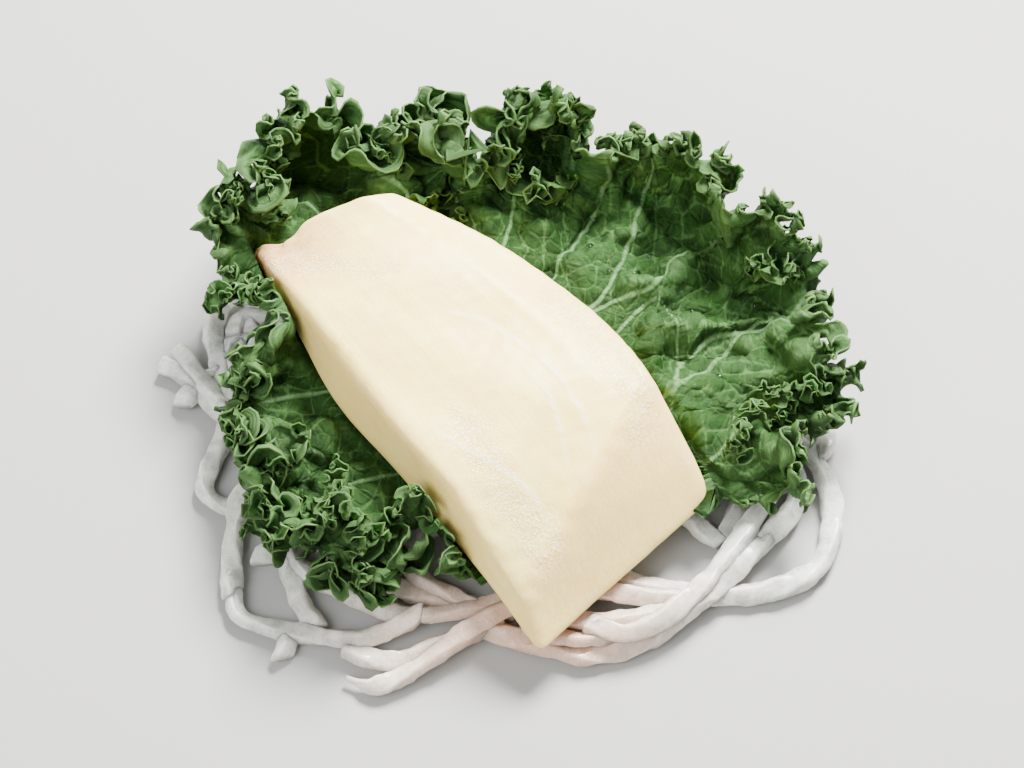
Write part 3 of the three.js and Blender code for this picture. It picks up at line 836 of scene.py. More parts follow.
def leaf_surface():
    shares, steps = leaf_shares()
    angle, share = np.meshgrid(np.arange(LEAF["around"]) / LEAF["around"] * TURN, shares, indexing="ij")
    sway, sways = TOOTH["sway"]
    tooth = sum(np.sin(waves * angle + sway * np.sin(sways * angle + waves)) for waves in TOOTH["waves"])
    reach = share * (1 + TOOTH["size"] / 2 * tooth * smoothstep(share, TOOTH["start"], 1))
    grid = plain_leaf(angle, reach)
    flat = flat_leaf(angle, share)
    grid = folded(swollen(grid, angle, share), flat)
    for ruffle in RUFFLES:
        grid = ruffled(grid, angle, share, ruffle)
    return settled(grid), share, flat, steps


def strip_faces(number, steps, first, last, count):
    """Triangles between rings of a leaf whose inner rings have fewer columns."""
    faces = []
    for ring in range(first + 1, last + 1):
        inner, outer = steps[ring - 1], steps[ring]
        for i in range(0, count, inner):
            here, after = number[i, ring - 1], number[(i + inner) % count, ring - 1]
            rim = [number[(i + k) % count, ring] for k in range(0, inner + 1, outer)]
            faces.append((here, rim[0], rim[1]))
            faces.append((here, rim[1], after))
            if len(rim) == 3:
                faces.append((after, rim[1], rim[2]))
    return faces


def distances(lines, flat, half=50.0, cell=0.12):
    """Distance to the nearest of the lines, up to a reach, read from a square grid of the flat leaf."""
    reach = RELIEF["reach"]
    ticks = np.arange(-half, half, cell)
    found = np.full((len(ticks), len(ticks)), reach)
    for line in lines:
        for start, end in zip(line, line[1:]):
            low, high = np.minimum(start, end) - reach, np.maximum(start, end) + reach
            first, last = (np.maximum((edge + half) // cell, 0).astype(int) for edge in (low, high))
            window = (slice(first[0], last[0]), slice(first[1], last[1]))
            x, y = np.meshgrid(ticks[window[0]], ticks[window[1]], indexing="ij")
            found[window] = np.minimum(found[window], segment_gap(x, y, start, end))
    u, v = (np.clip((flat[..., axis] + half) / cell, 0, len(ticks) - 2) for axis in (0, 1))
    i, j = u.astype(int), v.astype(int)
    u, v = u - i, v - j
    return mix(mix(found[i, j], found[i + 1, j], u), mix(found[i, j + 1], found[i + 1, j + 1], u), v)


def vein_gaps(flat):
    """Distances to the nearest vein and to the nearest twig of one."""
    lines = [bent_line(MIDRIB, 8)] + [bent_line(vein, 6) for vein in SIDE_VEINS]
    twigs = [twig for line in lines for twig in twigs_of(line)]
    return distances(lines, flat), distances(twigs, flat)


def both_faces(values):
    """The values once for the upper face and once more for the lower, which is marked."""
    doubled = {key: np.concatenate([value, value]) for key, value in values.items()}
    doubled["under"] = np.repeat([0.0, 1.0], len(values["share"]))
    return doubled


def leaf_part(name, rings, top, low, steps, attributes):
    """One stretch of the leaf, from ring to ring, with its upper and its lower face."""
    first, last = rings
    count = LEAF["around"]
    number = -np.ones(top.shape[:2], int)
    kept = [(i, ring) for ring in range(first, last + 1) for i in range(0, count, steps[ring])]
    columns, rows = np.array(kept).T
    total = len(kept)
    number[columns, rows] = np.arange(total)
    faces = strip_faces(number, steps, first, last, count)
    faces += [(a + total, c + total, b + total) for a, b, c in faces]
    if last == len(steps) - 1:
        rim = number[:, last]
        for here, after in zip(rim, np.roll(rim, -1)):
            faces += [(here, here + total, after + total), (here, after + total, after)]
    if first == 0:
        hub = number[:: steps[0], 0]
        faces += [tuple(hub), tuple(hub[::-1] + total)]
    points = np.concatenate([top[columns, rows], low[columns, rows]])
    values = both_faces({key: value[columns, rows] for key, value in attributes.items()})
    return make_piece(name, points, faces, values)


def hollow_shading(grid, normal, reaches, closed=True):
    """Between -1 on ridges and 1 in hollows, from how far the neighbours along the rim stand out; used for
    painted shade and light.
    """
    total = np.zeros(grid.shape[:2])
    for reach in reaches:
        after, before = np.roll(grid, -reach, axis=0), np.roll(grid, reach, axis=0)
        if not closed:
            after[-reach:], before[:reach] = grid[-reach:], grid[:reach]
        chord = np.linalg.norm(after - before, axis=-1) + HOLLOWS_FOR_SHADING["blur"]
        total += (((after + before) / 2 - grid) * normal).sum(axis=-1) / chord
    return np.clip(HOLLOWS_FOR_SHADING["gain"] * total / len(reaches), -1, 1)


def puckers(flat, share, to_vein, to_twig):
    """Strength of the puckers between veins, and the cells that they blister into."""
    puff = smoothstep(np.minimum(to_vein, to_twig * PUCKER["twig_pull"]), *PUCKER["wide"])
    away = np.hypot(flat[..., 0] - PUCKER["place"][0], flat[..., 1] - PUCKER["place"][1])
    strength = PUCKER["least"] + PUCKER["extra"] * hump(away, PUCKER["round"])
    cell = smoothstep(cell_gap(flat, PUCKER["cell"]), 0, PUCKER["cell_edge"])
    height = PUCKER["cell_height"] * smoothstep(strength, PUCKER["least"], 1) + PUCKER["cell_least"]
    near = smoothstep(share, *PUCKER["cell_share"]) * smoothstep(to_vein, *PUCKER["off_vein"])
    return strength * puff, cell, height * cell * near


def blade_relief(grid, flat, share, raised):
    """Height of the blade over its large form, from what the veins raise and from lumps."""
    least, more = RELIEF["broad_height"]
    grown = smoothstep(share, *RELIEF["grown"])
    relief = (1 - smoothstep(share, *RELIEF["fade"])) * raised
    relief += (least + more * share) * lumps(flat, RELIEF["broad"]) * grown
    relief += lumps(flat, RELIEF["fine"]) * grown
    return relief + lumps(grid, RELIEF["rim"]) * smoothstep(share, *RELIEF["rim_grown"])


def make_leaf():
    grid, share, flat, steps = leaf_surface()
    to_vein, to_twig = vein_gaps(flat)
    vein = hump(to_vein, RELIEF["vein_width"] + RELIEF["vein_wider"] * (1 - share))
    puff, cell, blister = puckers(flat, share, to_vein, to_twig)
    relief = blade_relief(grid, flat, share, puff + RELIEF["vein_height"] * vein + blister)
    _, normal = grid_frame(grid)
    grid = settled(grid + normal * (relief * clear_of_slice(grid, *RELIEF["clear"]))[..., None])
    _, normal = grid_frame(grid)
    half = mix(*LEAF["thickness"], share) / 2
    below = half * (1 + RELIEF["vein_below"] * vein * (1 - smoothstep(share, *RELIEF["fade"])))
    top, low = grid + normal * half[..., None], grid - normal * below[..., None]
    attributes = {
        "flat": flat,
        "share": share,
        "vein_gap": to_vein,
        "twig_gap": to_twig,
        "puff": puff * mix(PUCKER["puff_at_seams"], 1, cell),
        "cell": cell,
        # Painted shadow of the slice: marks the leaf within a few millimetres of the slice, where its colour
        # is darkened
        "beside": 1 - clear_of_slice(grid, *RELIEF["shaded"]),
        "hollow_shading": hollow_shading(grid, normal, HOLLOWS_FOR_SHADING["leaf_reach"]),
    }
    parts = [leaf_part(name, rings, top, low, steps, attributes) for name, rings in LEAF_PARTS.items()]
    return parts, grid


def leaf_place(degrees, share):
    """Column and ring of the leaf nearest to an angle and a share of the way out."""
    shares, _ = leaf_shares()
    return int(degrees / 360 * LEAF["around"]), int(np.argmin(np.abs(shares - share)))


def drawn_wave(turn, draw, waves):
    """Wave along a lobe, its count of waves and its place drawn."""
    return np.sin(draw.uniform(*waves) * turn + draw.uniform(0, TURN))


def lobe_surface(foot, out, up, length, spread, seed):
    """A fan that leaves its foot along out, rises a little, and ends in a ruffled margin."""
    draw = np.random.default_rng(LOBE["seed"] + seed)
    shares = np.linspace(0, 1, LOBE["rings"]) ** LOBE["crowding"]
    turn, share = np.meshgrid(np.linspace(-1, 1, LOBE["columns"]), shares, indexing="ij")
    angle = turn * math.radians(spread)
    jagged = sum(size * np.sin(waves * turn + k * seed) for k, (size, waves) in enumerate(LOBE["jags"], 1))
    jagged = jagged * smoothstep(share, LOBE["jags_from"], 1)
    reach = length * share * (1 - LOBE["round_off"] * turn**2 + jagged)
    rise = LOBE["rise"] * length * share**2 * (1 + LOBE["crown"] * np.cos(angle))
    ways = (reach * np.cos(angle), reach * np.sin(angle), rise)
    grid = foot + sum(way[..., None] * axis for way, axis in zip(ways, (out, np.cross(up, out), up)))
    grid = grid + up * (lumps(grid, LOBE["lumps"], seed) * smoothstep(share, *LOBE["lumps_over"]))[..., None]
    for ruffle in LOBE_RUFFLES:
        sway = draw.uniform(*LOBE["waver"]) * drawn_wave(turn, draw, LOBE["wavers"])
        phase = ruffle["waves"] * TURN / 2 * turn + draw.uniform(0, TURN) + sway + LOBE["lag"] * share
        patchy = 1 + LOBE["patchy"] * drawn_wave(turn, draw, LOBE["patches"])
        grown = smoothstep(share, 1 - ruffle["band"], 1) * patchy
        grid = flared(grid, phase, grown, ruffle, False)
    return settled(grid), turn, share, reach, angle


def sheet_faces(columns, rings):
    """Closed thin sheet over an open grid: upper face, lower face and the wall round it."""
    total = columns * rings
    number = np.arange(total).reshape(columns, rings)
    a, b, c, d = number[:-1, :-1], number[:-1, 1:], number[1:, 1:], number[1:, :-1]
    top = np.stack([a, b, c, d], axis=-1).reshape(-1, 4)
    edge = np.concatenate([number[0, :-1], number[:-1, -1], number[-1, :0:-1], number[:0:-1, 0]])
    after = np.roll(edge, -1)
    wall = np.stack([edge, edge + total, after + total, after], axis=-1)
    return np.concatenate([top, top[:, ::-1] + total, wall]).tolist()


def lobe(seed, grid, along, normal):
    """One side lobe: points, faces and attributes."""
    degrees, share, heading, lift, length, spread = LOBES[seed]
    i, j = leaf_place(degrees, share)
    up = normal[i, j]
    turn, rise = math.radians(heading), math.radians(lift)
    level = math.cos(turn) * unit(np.cross(along[i, j], up)) + math.sin(turn) * along[i, j]
    out = math.cos(rise) * level + math.sin(rise) * up
    face = math.cos(rise) * up - math.sin(rise) * level
    foot = grid[i, j] - up * LOBE["sunk"]
    surface, across, reached, reach, angle = lobe_surface(foot, out, face, length, spread, seed)
    _, square = grid_frame(surface, False)
    half = mix(*LOBE["thickness"], reached)[..., None] / 2
    points = np.stack([surface + square * half, surface - square * half]).reshape(-1, 3)
    across = across * LOBE["ribs"]
    rib = np.minimum(np.abs(across - np.round(across)) * reach / 2, LOBE["rib_most"])
    flat = np.stack([reach * np.cos(angle) + LOBE["apart"] * seed, reach * np.sin(angle), 0 * angle], axis=-1)
    values = {
        "flat": flat.reshape(-1, 3),
        "share": mix(LOBE["share_from"], 1, reached).ravel(),
        "vein_gap": np.full(rib.size, RELIEF["reach"]),
        "twig_gap": (rib + LOBE["rib_fade"] * smoothstep(reached, *LOBE["fade_over"])).ravel(),
        "puff": LOBE["puff"] * smoothstep(rib, *LOBE["puff_over"]).ravel(),
        "cell": np.ones(rib.size),
        "beside": np.zeros(rib.size),
        "hollow_shading": hollow_shading(surface, square, HOLLOWS_FOR_SHADING["lobe_reach"], False).ravel(),
    }
    return points, sheet_faces(LOBE["columns"], LOBE["rings"]), both_faces(values)


def make_lobes(name, seeds, grid):
    along, normal = grid_frame(grid)
    return make_joined(name, [lobe(seed, grid, along, normal) for seed in range(*seeds)])


# Radish shreds

def route_curve(points, step):
    """Centripetal curve through the points, with about one point for each step of length."""
    padded = with_ends(points)
    found = []
    for p0, p1, p2, p3 in zip(padded, padded[1:], padded[2:], padded[3:]):
        d0, d1, d2 = (max(np.linalg.norm(b - a) ** 0.5, 1e-4) for a, b in ((p0, p1), (p1, p2), (p2, p3)))
        leave = ((p1 - p0) / d0 - (p2 - p0) / (d0 + d1) + (p2 - p1) / d1) * d1
        arrive = ((p2 - p1) / d1 - (p3 - p1) / (d1 + d2) + (p3 - p2) / d2) * d1
        count = max(2, round(np.linalg.norm(p2 - p1) / step))
        t = np.linspace(0, 1, count, endpoint=False)[:, None]
        found.append(
            (2 * t**3 - 3 * t**2 + 1) * p1 + (t**3 - 2 * t**2 + t) * leave
            + (3 * t**2 - 2 * t**3) * p2 + (t**3 - t**2) * arrive
        )
    return np.concatenate([*found, padded[-2:-1]])


def waver(run, draw, shortest, longest):
    """Slow wave along a shred, of a drawn length and place."""
    return np.sin(run * TURN / draw.uniform(shortest, longest) + draw.uniform(0, TURN))


def shred_size(run, draw, pointed):
    """Size of a shred's section along it, uneven and slightly less at its ends."""
    size = np.ones_like(run)
    for height, shortest, longest in SHRED["swells"]:
        size += height * waver(run, draw, shortest, longest)
    size *= draw.uniform(*SHRED["sizes"])
    size *= mix(SHRED["end_size"], 1.0, smoothstep(np.minimum(run, run[-1] - run), *SHRED["end_over"]))
    if pointed:
        size *= mix(SHRED["point_size"], 1.0, smoothstep(run, 0, SHRED["point_length"]))
    return size[:, None]


def squared(wave, half):
    """Soft-cornered square section from the sine or cosine of a circle."""
    return np.sign(wave) * np.abs(wave) ** SHRED["square"] * half


def shred(points, number, step, pointed=False):
    """One cut shred: a soft-cornered square section along its route, uneven in width and cut askew."""
    line = route_curve(points, step)
    tangent = unit(np.gradient(line, axis=0))
    side = unit(np.cross(tangent, np.array([0, 0, 1.0])))
    over = np.cross(side, tangent)
    run = run_along(line)
    draw = np.random.default_rng(SHRED["seed"] + number)
    size = shred_size(run, draw, pointed)
    turn = SHRED["twist"] * waver(run, draw, *SHRED["twist_length"])[:, None]
    sides, count = SHRED["sides"], len(line)
    circle = np.arange(sides) / sides * TURN
    wide, high = squared(np.cos(circle), SHRED["half_width"]), squared(np.sin(circle), SHRED["half_height"])
    sx = (wide * np.cos(turn) - high * np.sin(turn)) * size
    sy = (wide * np.sin(turn) + high * np.cos(turn)) * size
    rings = line[:, None] + side[:, None] * sx[..., None] + over[:, None] * sy[..., None]
    rings += unit(rings - line[:, None]) * lumps(rings, SHRED["lumps"], number)[..., None]
    for end in (run[0], run[-1]):
        reach = smoothstep(SHRED["askew_reach"] - np.abs(run - end), 0, SHRED["askew_reach"])[:, None]
        rings += tangent[:, None] * (reach * sx * SHRED["askew"] * draw.uniform(-1, 1))[..., None]
    rings[..., 2] = np.maximum(rings[..., 2], 0.0)
    caps = [range(sides), range(count * sides - 1, (count - 1) * sides - 1, -1)]
    grain = (np.cos(circle), run[:, None], np.sin(circle) + number * SHRED["apart"])
    grain = np.stack(np.broadcast_arrays(*grain), axis=-1).reshape(-1, 3)
    return rings.reshape(-1, 3), tube_faces(count, sides) + caps, {"grain": grain}


def mound_height(x, y, share):
    top = seat_height(x, y) - MOUND["gap"]
    return mix(top, MOUND["edge_height"], smoothstep(share, MOUND["fall_from"], 1))


def mound_point(angle, share):
    reach = round_leaf(LEAF["reach"], angle) * MOUND["share_of_leaf"] * share
    return LEAF["centre"][0] + np.cos(angle) * reach, LEAF["centre"][1] + np.sin(angle) * reach


def mound_mesh():
    around, rings = MOUND["around"], MOUND["rings"]
    shares = np.linspace(0, MOUND["core"], rings + 1)[1:]
    angle, share = np.meshgrid(np.arange(around) / around * TURN, shares)
    x, y = mound_point(angle, share)
    z = mound_height(x, y, share) - MOUND["core_sink"] + lumps(np.stack([x, y], axis=-1), MOUND["lumps"])
    top = np.stack([x, y, np.maximum(z, MOUND["least"])], axis=-1).reshape(-1, 3)
    x, y = (np.array([value]) for value in LEAF["centre"])
    centre = np.stack([x, y, mound_height(x, y, np.zeros(1)) - MOUND["core_sink"]], axis=-1)
    points = np.concatenate([top, centre, top[-around:] * np.array([1, 1, 0])])
    middle, base = rings * around, rings * around + 1
    first = np.arange(around)
    after, last = np.roll(first, -1), first + middle - around
    faces = tube_faces(rings, around)
    faces += np.stack([np.full(around, middle), first, after], axis=-1).tolist()
    faces += np.stack([last, base + first, base + after, last[0] + after], axis=-1).tolist()
    return points, [*faces, base + first[::-1]], {"grain": points}


def tangle_routes():
    """Routes that wander over the mound, under the leaf."""
    routes = []
    while len(routes) < TANGLE["count"]:
        angle = random.uniform(0, TURN)
        share = math.sqrt(random.uniform(TANGLE["start"], 1)) * TANGLE["reach"]
        heading = random.uniform(0, TURN)
        turn = random.uniform(-TANGLE["turn"], TANGLE["turn"])
        x, y = mound_point(angle, share)
        route = []
        for _ in range(TANGLE["points"]):
            share_here = share_on_mound(x, y)
            if share_here > TANGLE["reach"]:
                break
            z = float(mound_height(np.array([x]), np.array([y]), np.array([share_here]))[0])
            route.append((x, y, max(LOWEST_ROUTE, z - TANGLE["sink"] + random.uniform(*TANGLE["level"]))))
            heading += turn + random.uniform(*TANGLE["waver"])
            x += TANGLE["stride"] * math.cos(heading)
            y += TANGLE["stride"] * math.sin(heading)
        if len(route) >= TANGLE["fewest"]:
            routes.append(route)
    return routes


def rim_routes():
    """Routes that run round the far edge of the mound, one over another."""
    routes = []
    for _ in range(RIM["count"]):
        angle = math.radians(random.uniform(RIM["from"], RIM["to"]))
        share, level = random.uniform(*RIM["share"]), random.uniform(*RIM["layers"])
        slant = random.uniform(*RIM["slant"])
        route = []
        for _ in range(random.integers(*RIM["points"])):
            x, y = mound_point(np.array(angle), min(share, RIM["share"][1]))
            route.append((float(x), float(y), max(LOWEST_ROUTE, level + random.uniform(*RIM["level"]))))
            angle += math.radians(RIM["stride"])
            share += slant + random.uniform(*RIM["waver"])
        routes.append(route)
    return routes


def share_on_mound(x, y):
    dx, dy = x - LEAF["centre"][0], y - LEAF["centre"][1]
    reach = round_leaf(LEAF["reach"], np.array(math.atan2(dy, dx))) * MOUND["share_of_leaf"]
    return math.hypot(dx, dy) / float(reach)


def make_shreds():
    parts = [mound_mesh()]
    for number, route in enumerate(ROUTES):
        parts.append(shred(route, number, SHRED["step"], number == POINTED_ROUTE))
    for number, route in enumerate(tangle_routes() + rim_routes(), len(ROUTES)):
        parts.append(shred(route, number, SHRED["step"] * 2))
    for points, _, values in parts:
        # Painted reflection of the slice's warm light on the shreds near its end
        across = hump(points[:, 0], WARM_REFLECTION["wide"], WARM_REFLECTION["place"])
        values["warm_reflection"] = across * smoothstep(-points[:, 1], *WARM_REFLECTION["near"])
    return make_joined("radish_shred_bed", parts)


# Water drops

def drop(place, side, up, degrees, radius):
    """One flattened drop: points and faces."""
    rings, around = DROP["rings"] + 1, DROP["around"]
    tilt = np.linspace(0, math.pi / 2 * DROP["past_level"], rings)[:, None]
    turn = np.arange(around) / around * TURN
    wide = radius * np.sin(tilt) * (1 + DROP["uneven"] * np.sin(2 * turn + degrees))
    ways = (wide * np.cos(turn), wide * np.sin(turn), radius * DROP["flat"] * np.cos(tilt))
    points = place + sum(way[..., None] * axis for way, axis in zip(ways, (side, np.cross(up, side), up)))
    cap = range(rings * around - 1, (rings - 1) * around - 1, -1)
    return points.reshape(-1, 3), [*tube_faces(rings, around), cap], {}


def make_drops(grid):
    along, normal = grid_frame(grid)
    parts = []
    for degrees, share, radius in DROPS:
        place = leaf_place(degrees, share)
        foot = grid[place] + normal[place] * DROP["lift"]
        parts.append(drop(foot, along[place], normal[place], degrees, radius))
    return make_joined("water_drops", parts)


# Materials

class Shader:
    """A material with one Principled shader, short calls for its nodes, and colours in layers."""

    def __init__(self, name, **sockets):
        self.material = bpy.data.materials.new(name)
        self.material.use_nodes = True
        self.tree = self.material.node_tree
        self.main = self.tree.nodes["Principled BSDF"]
        self.color = None
        for socket, value in sockets.items():
            self.main.inputs[socket.replace("_", " ")].default_value = value

    def attribute(self, name, output="Fac"):
        node = self.tree.nodes.new("ShaderNodeAttribute")
        node.attribute_name = name
        return node.outputs[output]

    def put(self, value, socket):
        """Sets a socket to a number or a colour, or joins it to another socket or to a named attribute."""
        if isinstance(value, str):
            value = self.attribute(value)
        if isinstance(value, (int, float, tuple)):
            socket.default_value = value
        else:
            self.tree.links.new(value, socket)

    def node(self, kind, values, output, **settings):
        """Output of a new node whose inputs are set or joined by their names or numbers."""
        made = self.tree.nodes.new(kind)
        for key, value in settings.items():
            setattr(made, key, value)
        for key, value in values.items():
            self.put(value, made.inputs[key])
        return made.outputs[output]

    def noise(self, vector, scale, detail=3.0, roughness=0.55, distortion=0.0):
        values = {"Vector": vector, "Scale": scale, "Detail": detail, "Roughness": roughness}
        return self.node("ShaderNodeTexNoise", {**values, "Distortion": distortion}, "Fac")

    def cells(self, vector, scale):
        values = {"Vector": vector, "Scale": scale}
        return self.node("ShaderNodeTexVoronoi", values, "Distance", feature="DISTANCE_TO_EDGE")

    def stretched(self, vector, scale):
        return self.node("ShaderNodeMapping", {"Vector": vector, "Scale": scale}, "Vector")

    def spread(self, value, low, high, to_low=0.0, to_high=1.0):
        values = {"Value": value, "From Min": low, "From Max": high, "To Min": to_low, "To Max": to_high}
        return self.node("ShaderNodeMapRange", values, "Result")

    def math(self, operation, a, b):
        return self.node("ShaderNodeMath", {0: a, 1: b}, "Value", operation=operation)

    def times(self, a, b):
        return self.math("MULTIPLY", a, b)

    def tint(self, amount, rgb, share=1.0):
        """Lays a colour over the one so far, as far as a share of the amount."""
        made = self.tree.nodes.new("ShaderNodeMix")
        made.data_type = "RGBA"
        values = {"Factor": self.times(amount, share), "A": self.color, "B": linear(*rgb)}
        for key, value in values.items():
            self.put(value, next(s for s in made.inputs if s.name == key and s.enabled))
        self.color = next(s for s in made.outputs if s.enabled)

    def bump(self, height, strength, distance, below=None):
        values = {"Height": height, "Strength": strength, "Distance": distance}
        if below:
            values["Normal"] = below
        return self.node("ShaderNodeBump", values, "Normal")

    def feed(self, roughness, normal):
        """Joins the colour, the roughness and the normal to the shader."""
        for socket, source in (("Base Color", self.color), ("Roughness", roughness), ("Normal", normal)):
            self.put(source, self.main.inputs[socket])
        return self.material


def flesh_material():
    shader = Shader(
        "tuna_flesh", IOR=1.38, Subsurface_Weight=0.35, Subsurface_Radius=(1.0, 0.62, 0.36),
        Subsurface_Scale=0.0018, Coat_Weight=0.16, Coat_Roughness=0.25,
    )
    grain = shader.attribute("grain", "Vector")
    shader.color = linear(252, 222, 116)
    shader.tint(shader.spread(shader.noise(grain, 0.11, 3), 0.35, 0.65), (254, 231, 136))
    shader.tint(shader.spread(shader.noise(grain, 0.2, 2, distortion=0.6), 0.45, 0.75), (244, 204, 118), 0.6)
    # Painted shade: the near end face and the lower left side face are darkened
    shader.tint("shaded_end_face", (244, 204, 128), 0.6)
    shader.tint("side", (226, 196, 118), 0.35)
    fibres = shader.noise(shader.stretched(grain, (1.6, 0.16, 1.0)), 1.0, 4, 0.6, 0.3)
    shader.tint(shader.spread(fibres, 0.52, 0.7), (254, 240, 188), 0.22)
    shader.tint("seam", (255, 250, 232), 0.8)
    shader.tint("tip", (238, 200, 132), 0.8)
    speckle = shader.spread(shader.noise(shader.stretched(grain, (0.7, 1.8, 1.8)), 1.0, 5, 0.72), 0.46, 0.6)
    shader.tint(shader.times("tip", shader.spread(speckle, 0.0, 1.0, 0.3, 1.0)), (214, 150, 104), 0.85)
    # Painted highlight in the wet places: whitish speckles with darker crackle lines between them; the wet
    # places are also glossier
    wet_glint = shader.times("wet_glint", shader.spread(shader.noise(grain, 0.5, 3), 0.3, 0.55))
    painted_glint = shader.spread(shader.noise(grain, 2.8, 5, 0.8), 0.5, 0.64)
    shader.tint(shader.times(painted_glint, shader.spread(wet_glint, 0.0, 0.8, 0.16, 1.0)), (255, 255, 250))
    crackle = shader.spread(shader.cells(grain, 2.1), 0.0, 0.16)
    shader.tint(shader.times(shader.math("SUBTRACT", 1.0, crackle), wet_glint), (228, 192, 118), 0.4)
    height = shader.math("ADD", shader.times(shader.times(crackle, wet_glint), 2.0), fibres)
    normal = shader.bump(height, 0.45, 0.00014)
    normal = shader.bump(shader.noise(grain, 2.6, 4, 0.7), 0.5, 0.00012, normal)
    return shader.feed(shader.spread(wet_glint, 0.0, 1.0, 0.46, 0.3), normal)


def leaf_material():
    shader = Shader(
        "kale", IOR=1.36, Subsurface_Weight=0.15, Subsurface_Radius=(0.45, 1.0, 0.2),
        Subsurface_Scale=0.0008, Specular_IOR_Level=0.25,
    )
    flat = shader.attribute("flat", "Vector")
    shader.color = linear(19, 46, 9)
    shader.tint(shader.spread(shader.noise(flat, 0.12, 3, distortion=0.5), 0.38, 0.64), (38, 72, 31))
    cloud = shader.spread(shader.noise(flat, 0.9, 4, 0.6), 0.4, 0.68, 0.0, 0.45)
    shader.tint(cloud, (56, 90, 42))
    shader.tint("puff", (20, 52, 4))
    shader.tint(shader.spread("share", 0.8, 1.0, 0.0, 0.45), (50, 80, 36))
    # Painted shade darkens the hollows, and painted light lightens the ridges towards the rim
    shader.tint(shader.spread("hollow_shading", 0.05, 0.7, 0.0, 0.5), (9, 27, 3))
    lit_ridge = shader.spread("hollow_shading", -0.1, -0.8, 0.0, 0.5)
    shader.tint(shader.times(lit_ridge, shader.spread("share", 0.6, 0.85, 0.25, 1.0)), (66, 98, 52))
    net = shader.cells(flat, 0.62)
    shader.tint(shader.spread(net, 0.0, 0.07, 0.3, 0.0), (62, 94, 46))
    shader.tint(shader.spread("cell", 0.0, 0.3, 0.55, 0.0), (84, 122, 66))
    # Painted shadow of the slice on the leaf beside it
    shader.tint("beside", (20, 56, 16), 0.35)
    shader.tint(shader.spread("twig_gap", 0.03, 0.17, 0.6, 0.0), (76, 112, 64))
    vein = shader.spread("vein_gap", 0.06, 0.27, 0.85, 0.0)
    shader.tint(shader.times(vein, shader.spread("share", 0.6, 1.0, 1.0, 0.3)), (102, 138, 92))
    lip = shader.spread("share", 0.99, 1.0, 0.0, 0.7)
    shader.tint(shader.times(lip, shader.spread(cloud, 0.0, 0.45, 0.3, 1.0)), (104, 134, 80))
    shader.tint("under", (58, 84, 44), 0.4)
    mottle = shader.spread(shader.noise(flat, 3.0, 5, 0.75), 0.3, 0.7, 0.68, 1.3)
    scaled = {0: shader.color, "Scale": mottle}
    shader.color = shader.node("ShaderNodeVectorMath", scaled, "Vector", operation="SCALE")
    roughness = shader.spread(shader.noise(flat, 0.5, 3), 0.35, 0.7, 0.45, 0.68)
    roughness = shader.math("SUBTRACT", roughness, shader.times("puff", 0.2))
    grain = shader.noise(flat, 2.4, 6, 0.75)
    height = shader.math("ADD", shader.spread(net, 0.0, 0.16), shader.times(grain, 2.2))
    return shader.feed(roughness, shader.bump(height, 0.8, 0.00022))


def radish_material():
    shader = Shader(
        "radish", IOR=1.36, Subsurface_Weight=0.7, Subsurface_Radius=(1.0, 0.96, 0.86),
        Subsurface_Scale=0.0018, Coat_Weight=0.4, Coat_Roughness=0.14,
    )
    grain = shader.attribute("grain", "Vector")
    streaks = shader.noise(shader.stretched(grain, (2.4, 0.3, 2.4)), 1.0, 5, 0.68)
    speckle = shader.noise(grain, 3.2, 5, 0.75)
    shader.color = linear(176, 181, 172)
    shader.tint(shader.spread(shader.noise(grain, 0.55, 4, 0.6), 0.4, 0.62), (214, 214, 207))
    shader.tint(shader.spread(streaks, 0.48, 0.68, 0.0, 0.5), (232, 231, 225))
    # Painted reflection: the slice's warm light thrown onto the nearby shreds tints them pink
    shader.tint("warm_reflection", (214, 164, 134), 0.75)
    shader.tint(shader.spread(speckle, 0.5, 0.66, 0.0, 0.35), (240, 239, 234))
    roughness = shader.spread(shader.noise(grain, 1.1, 3), 0.3, 0.7, 0.26, 0.5)
    return shader.feed(roughness, shader.bump(speckle, 0.6, 0.00018, shader.bump(streaks, 0.6, 0.00022)))


def water_material():
    clear = (0.97, 0.99, 0.98, 1.0)
    return Shader("water", Base_Color=clear, Roughness=0.02, IOR=1.33, Transmission_Weight=1.0).material


def floor_material():
    return Shader("floor", Base_Color=linear(*FLOOR["color"]), Roughness=0.7).material


# Stage

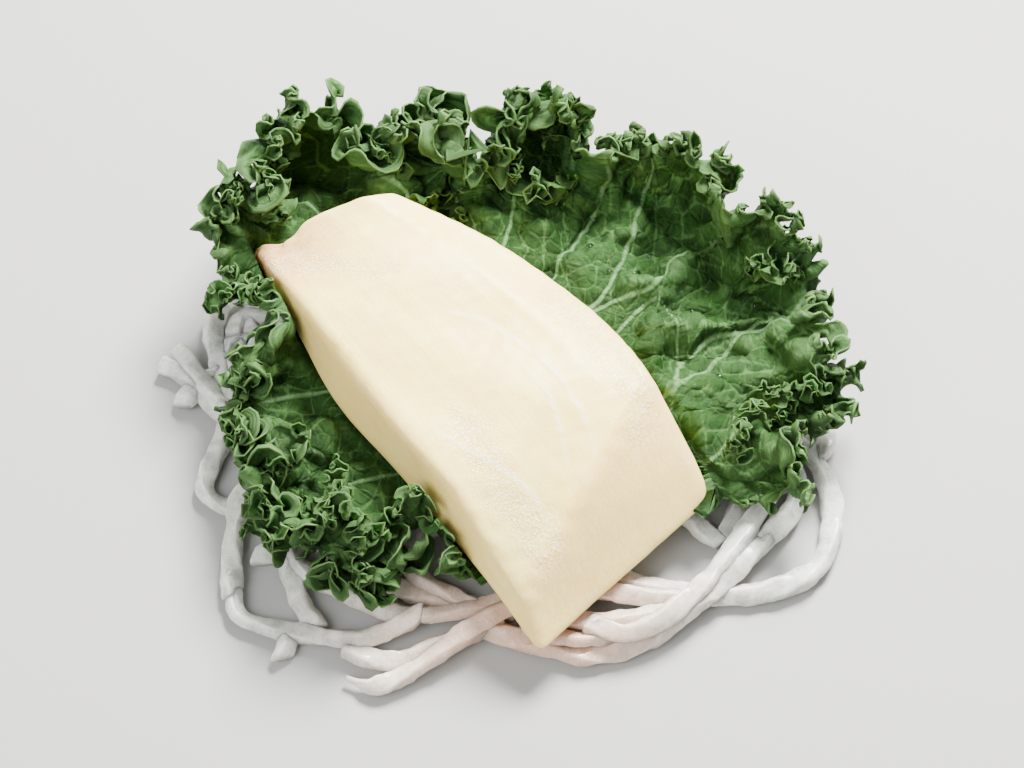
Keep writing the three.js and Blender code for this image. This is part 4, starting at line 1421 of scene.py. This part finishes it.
def make_camera():
    elevation = math.radians(VIEW["elevation"])
    target = (np.array(VIEW["target"]) - MIDDLE) * MM
    back = np.array([0, -math.cos(elevation), math.sin(elevation)]) * VIEW["distance"] * MM
    data = bpy.data.cameras.new("camera")
    data.sensor_width = SENSOR
    data.lens = VIEW["pixels_per_mm"] * VIEW["distance"] / PHOTO_WIDTH * SENSOR
    data.clip_start, data.clip_end = VIEW["clip"]
    camera = bpy.data.objects.new("camera", data)
    camera.location = Vector(target + back)
    camera.rotation_euler = (Vector(target) - camera.location).to_track_quat("-Z", "Y").to_euler()
    bpy.context.scene.collection.objects.link(camera)
    bpy.context.scene.camera = camera


def make_light(name, place, size, power, color):
    data = bpy.data.lights.new(name, "AREA")
    data.shape, data.size, data.energy, data.color = "DISK", size, power, color
    light = bpy.data.objects.new(name, data)
    light.location = place
    light.rotation_euler = (-Vector(place)).to_track_quat("-Z", "Y").to_euler()
    bpy.context.scene.collection.objects.link(light)


def make_stage():
    half, level = FLOOR["half"], FLOOR["level"]
    mesh = bpy.data.meshes.new("floor")
    corners = [(-half, -half, level), (half, -half, level), (half, half, level), (-half, half, level)]
    mesh.from_pydata(corners, [], [(0, 1, 2, 3)])
    mesh.materials.append(floor_material())
    floor = bpy.data.objects.new("floor", mesh)
    bpy.context.scene.collection.objects.link(floor)
    for name, light in LIGHTS.items():
        make_light(name, *light)
    world = bpy.data.worlds.new("studio")
    world.use_nodes = True
    background = world.node_tree.nodes["Background"]
    background.inputs["Color"].default_value = WORLD["color"]
    background.inputs["Strength"].default_value = WORLD["strength"]
    bpy.context.scene.world = world


def dress(piece, material, slot, *nodes):
    piece.data.materials.append(material)
    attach(piece, "root")
    if nodes:
        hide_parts(*nodes)


make_camera()
make_stage()
dress(make_slice(), flesh_material(), "tuna_flesh", "tuna_slice")
leaf_parts, leaf_grid = make_leaf()
kale = leaf_material()
leaf_parts += [make_lobes(name, seeds, leaf_grid) for name, seeds in LOBE_PARTS.items()]
for leaf_piece in leaf_parts:
    dress(leaf_piece, kale, "kale", "kale_leaf")
dress(make_shreds(), radish_material(), "radish", "radish_shreds")
dress(make_drops(leaf_grid), water_material(), "water")
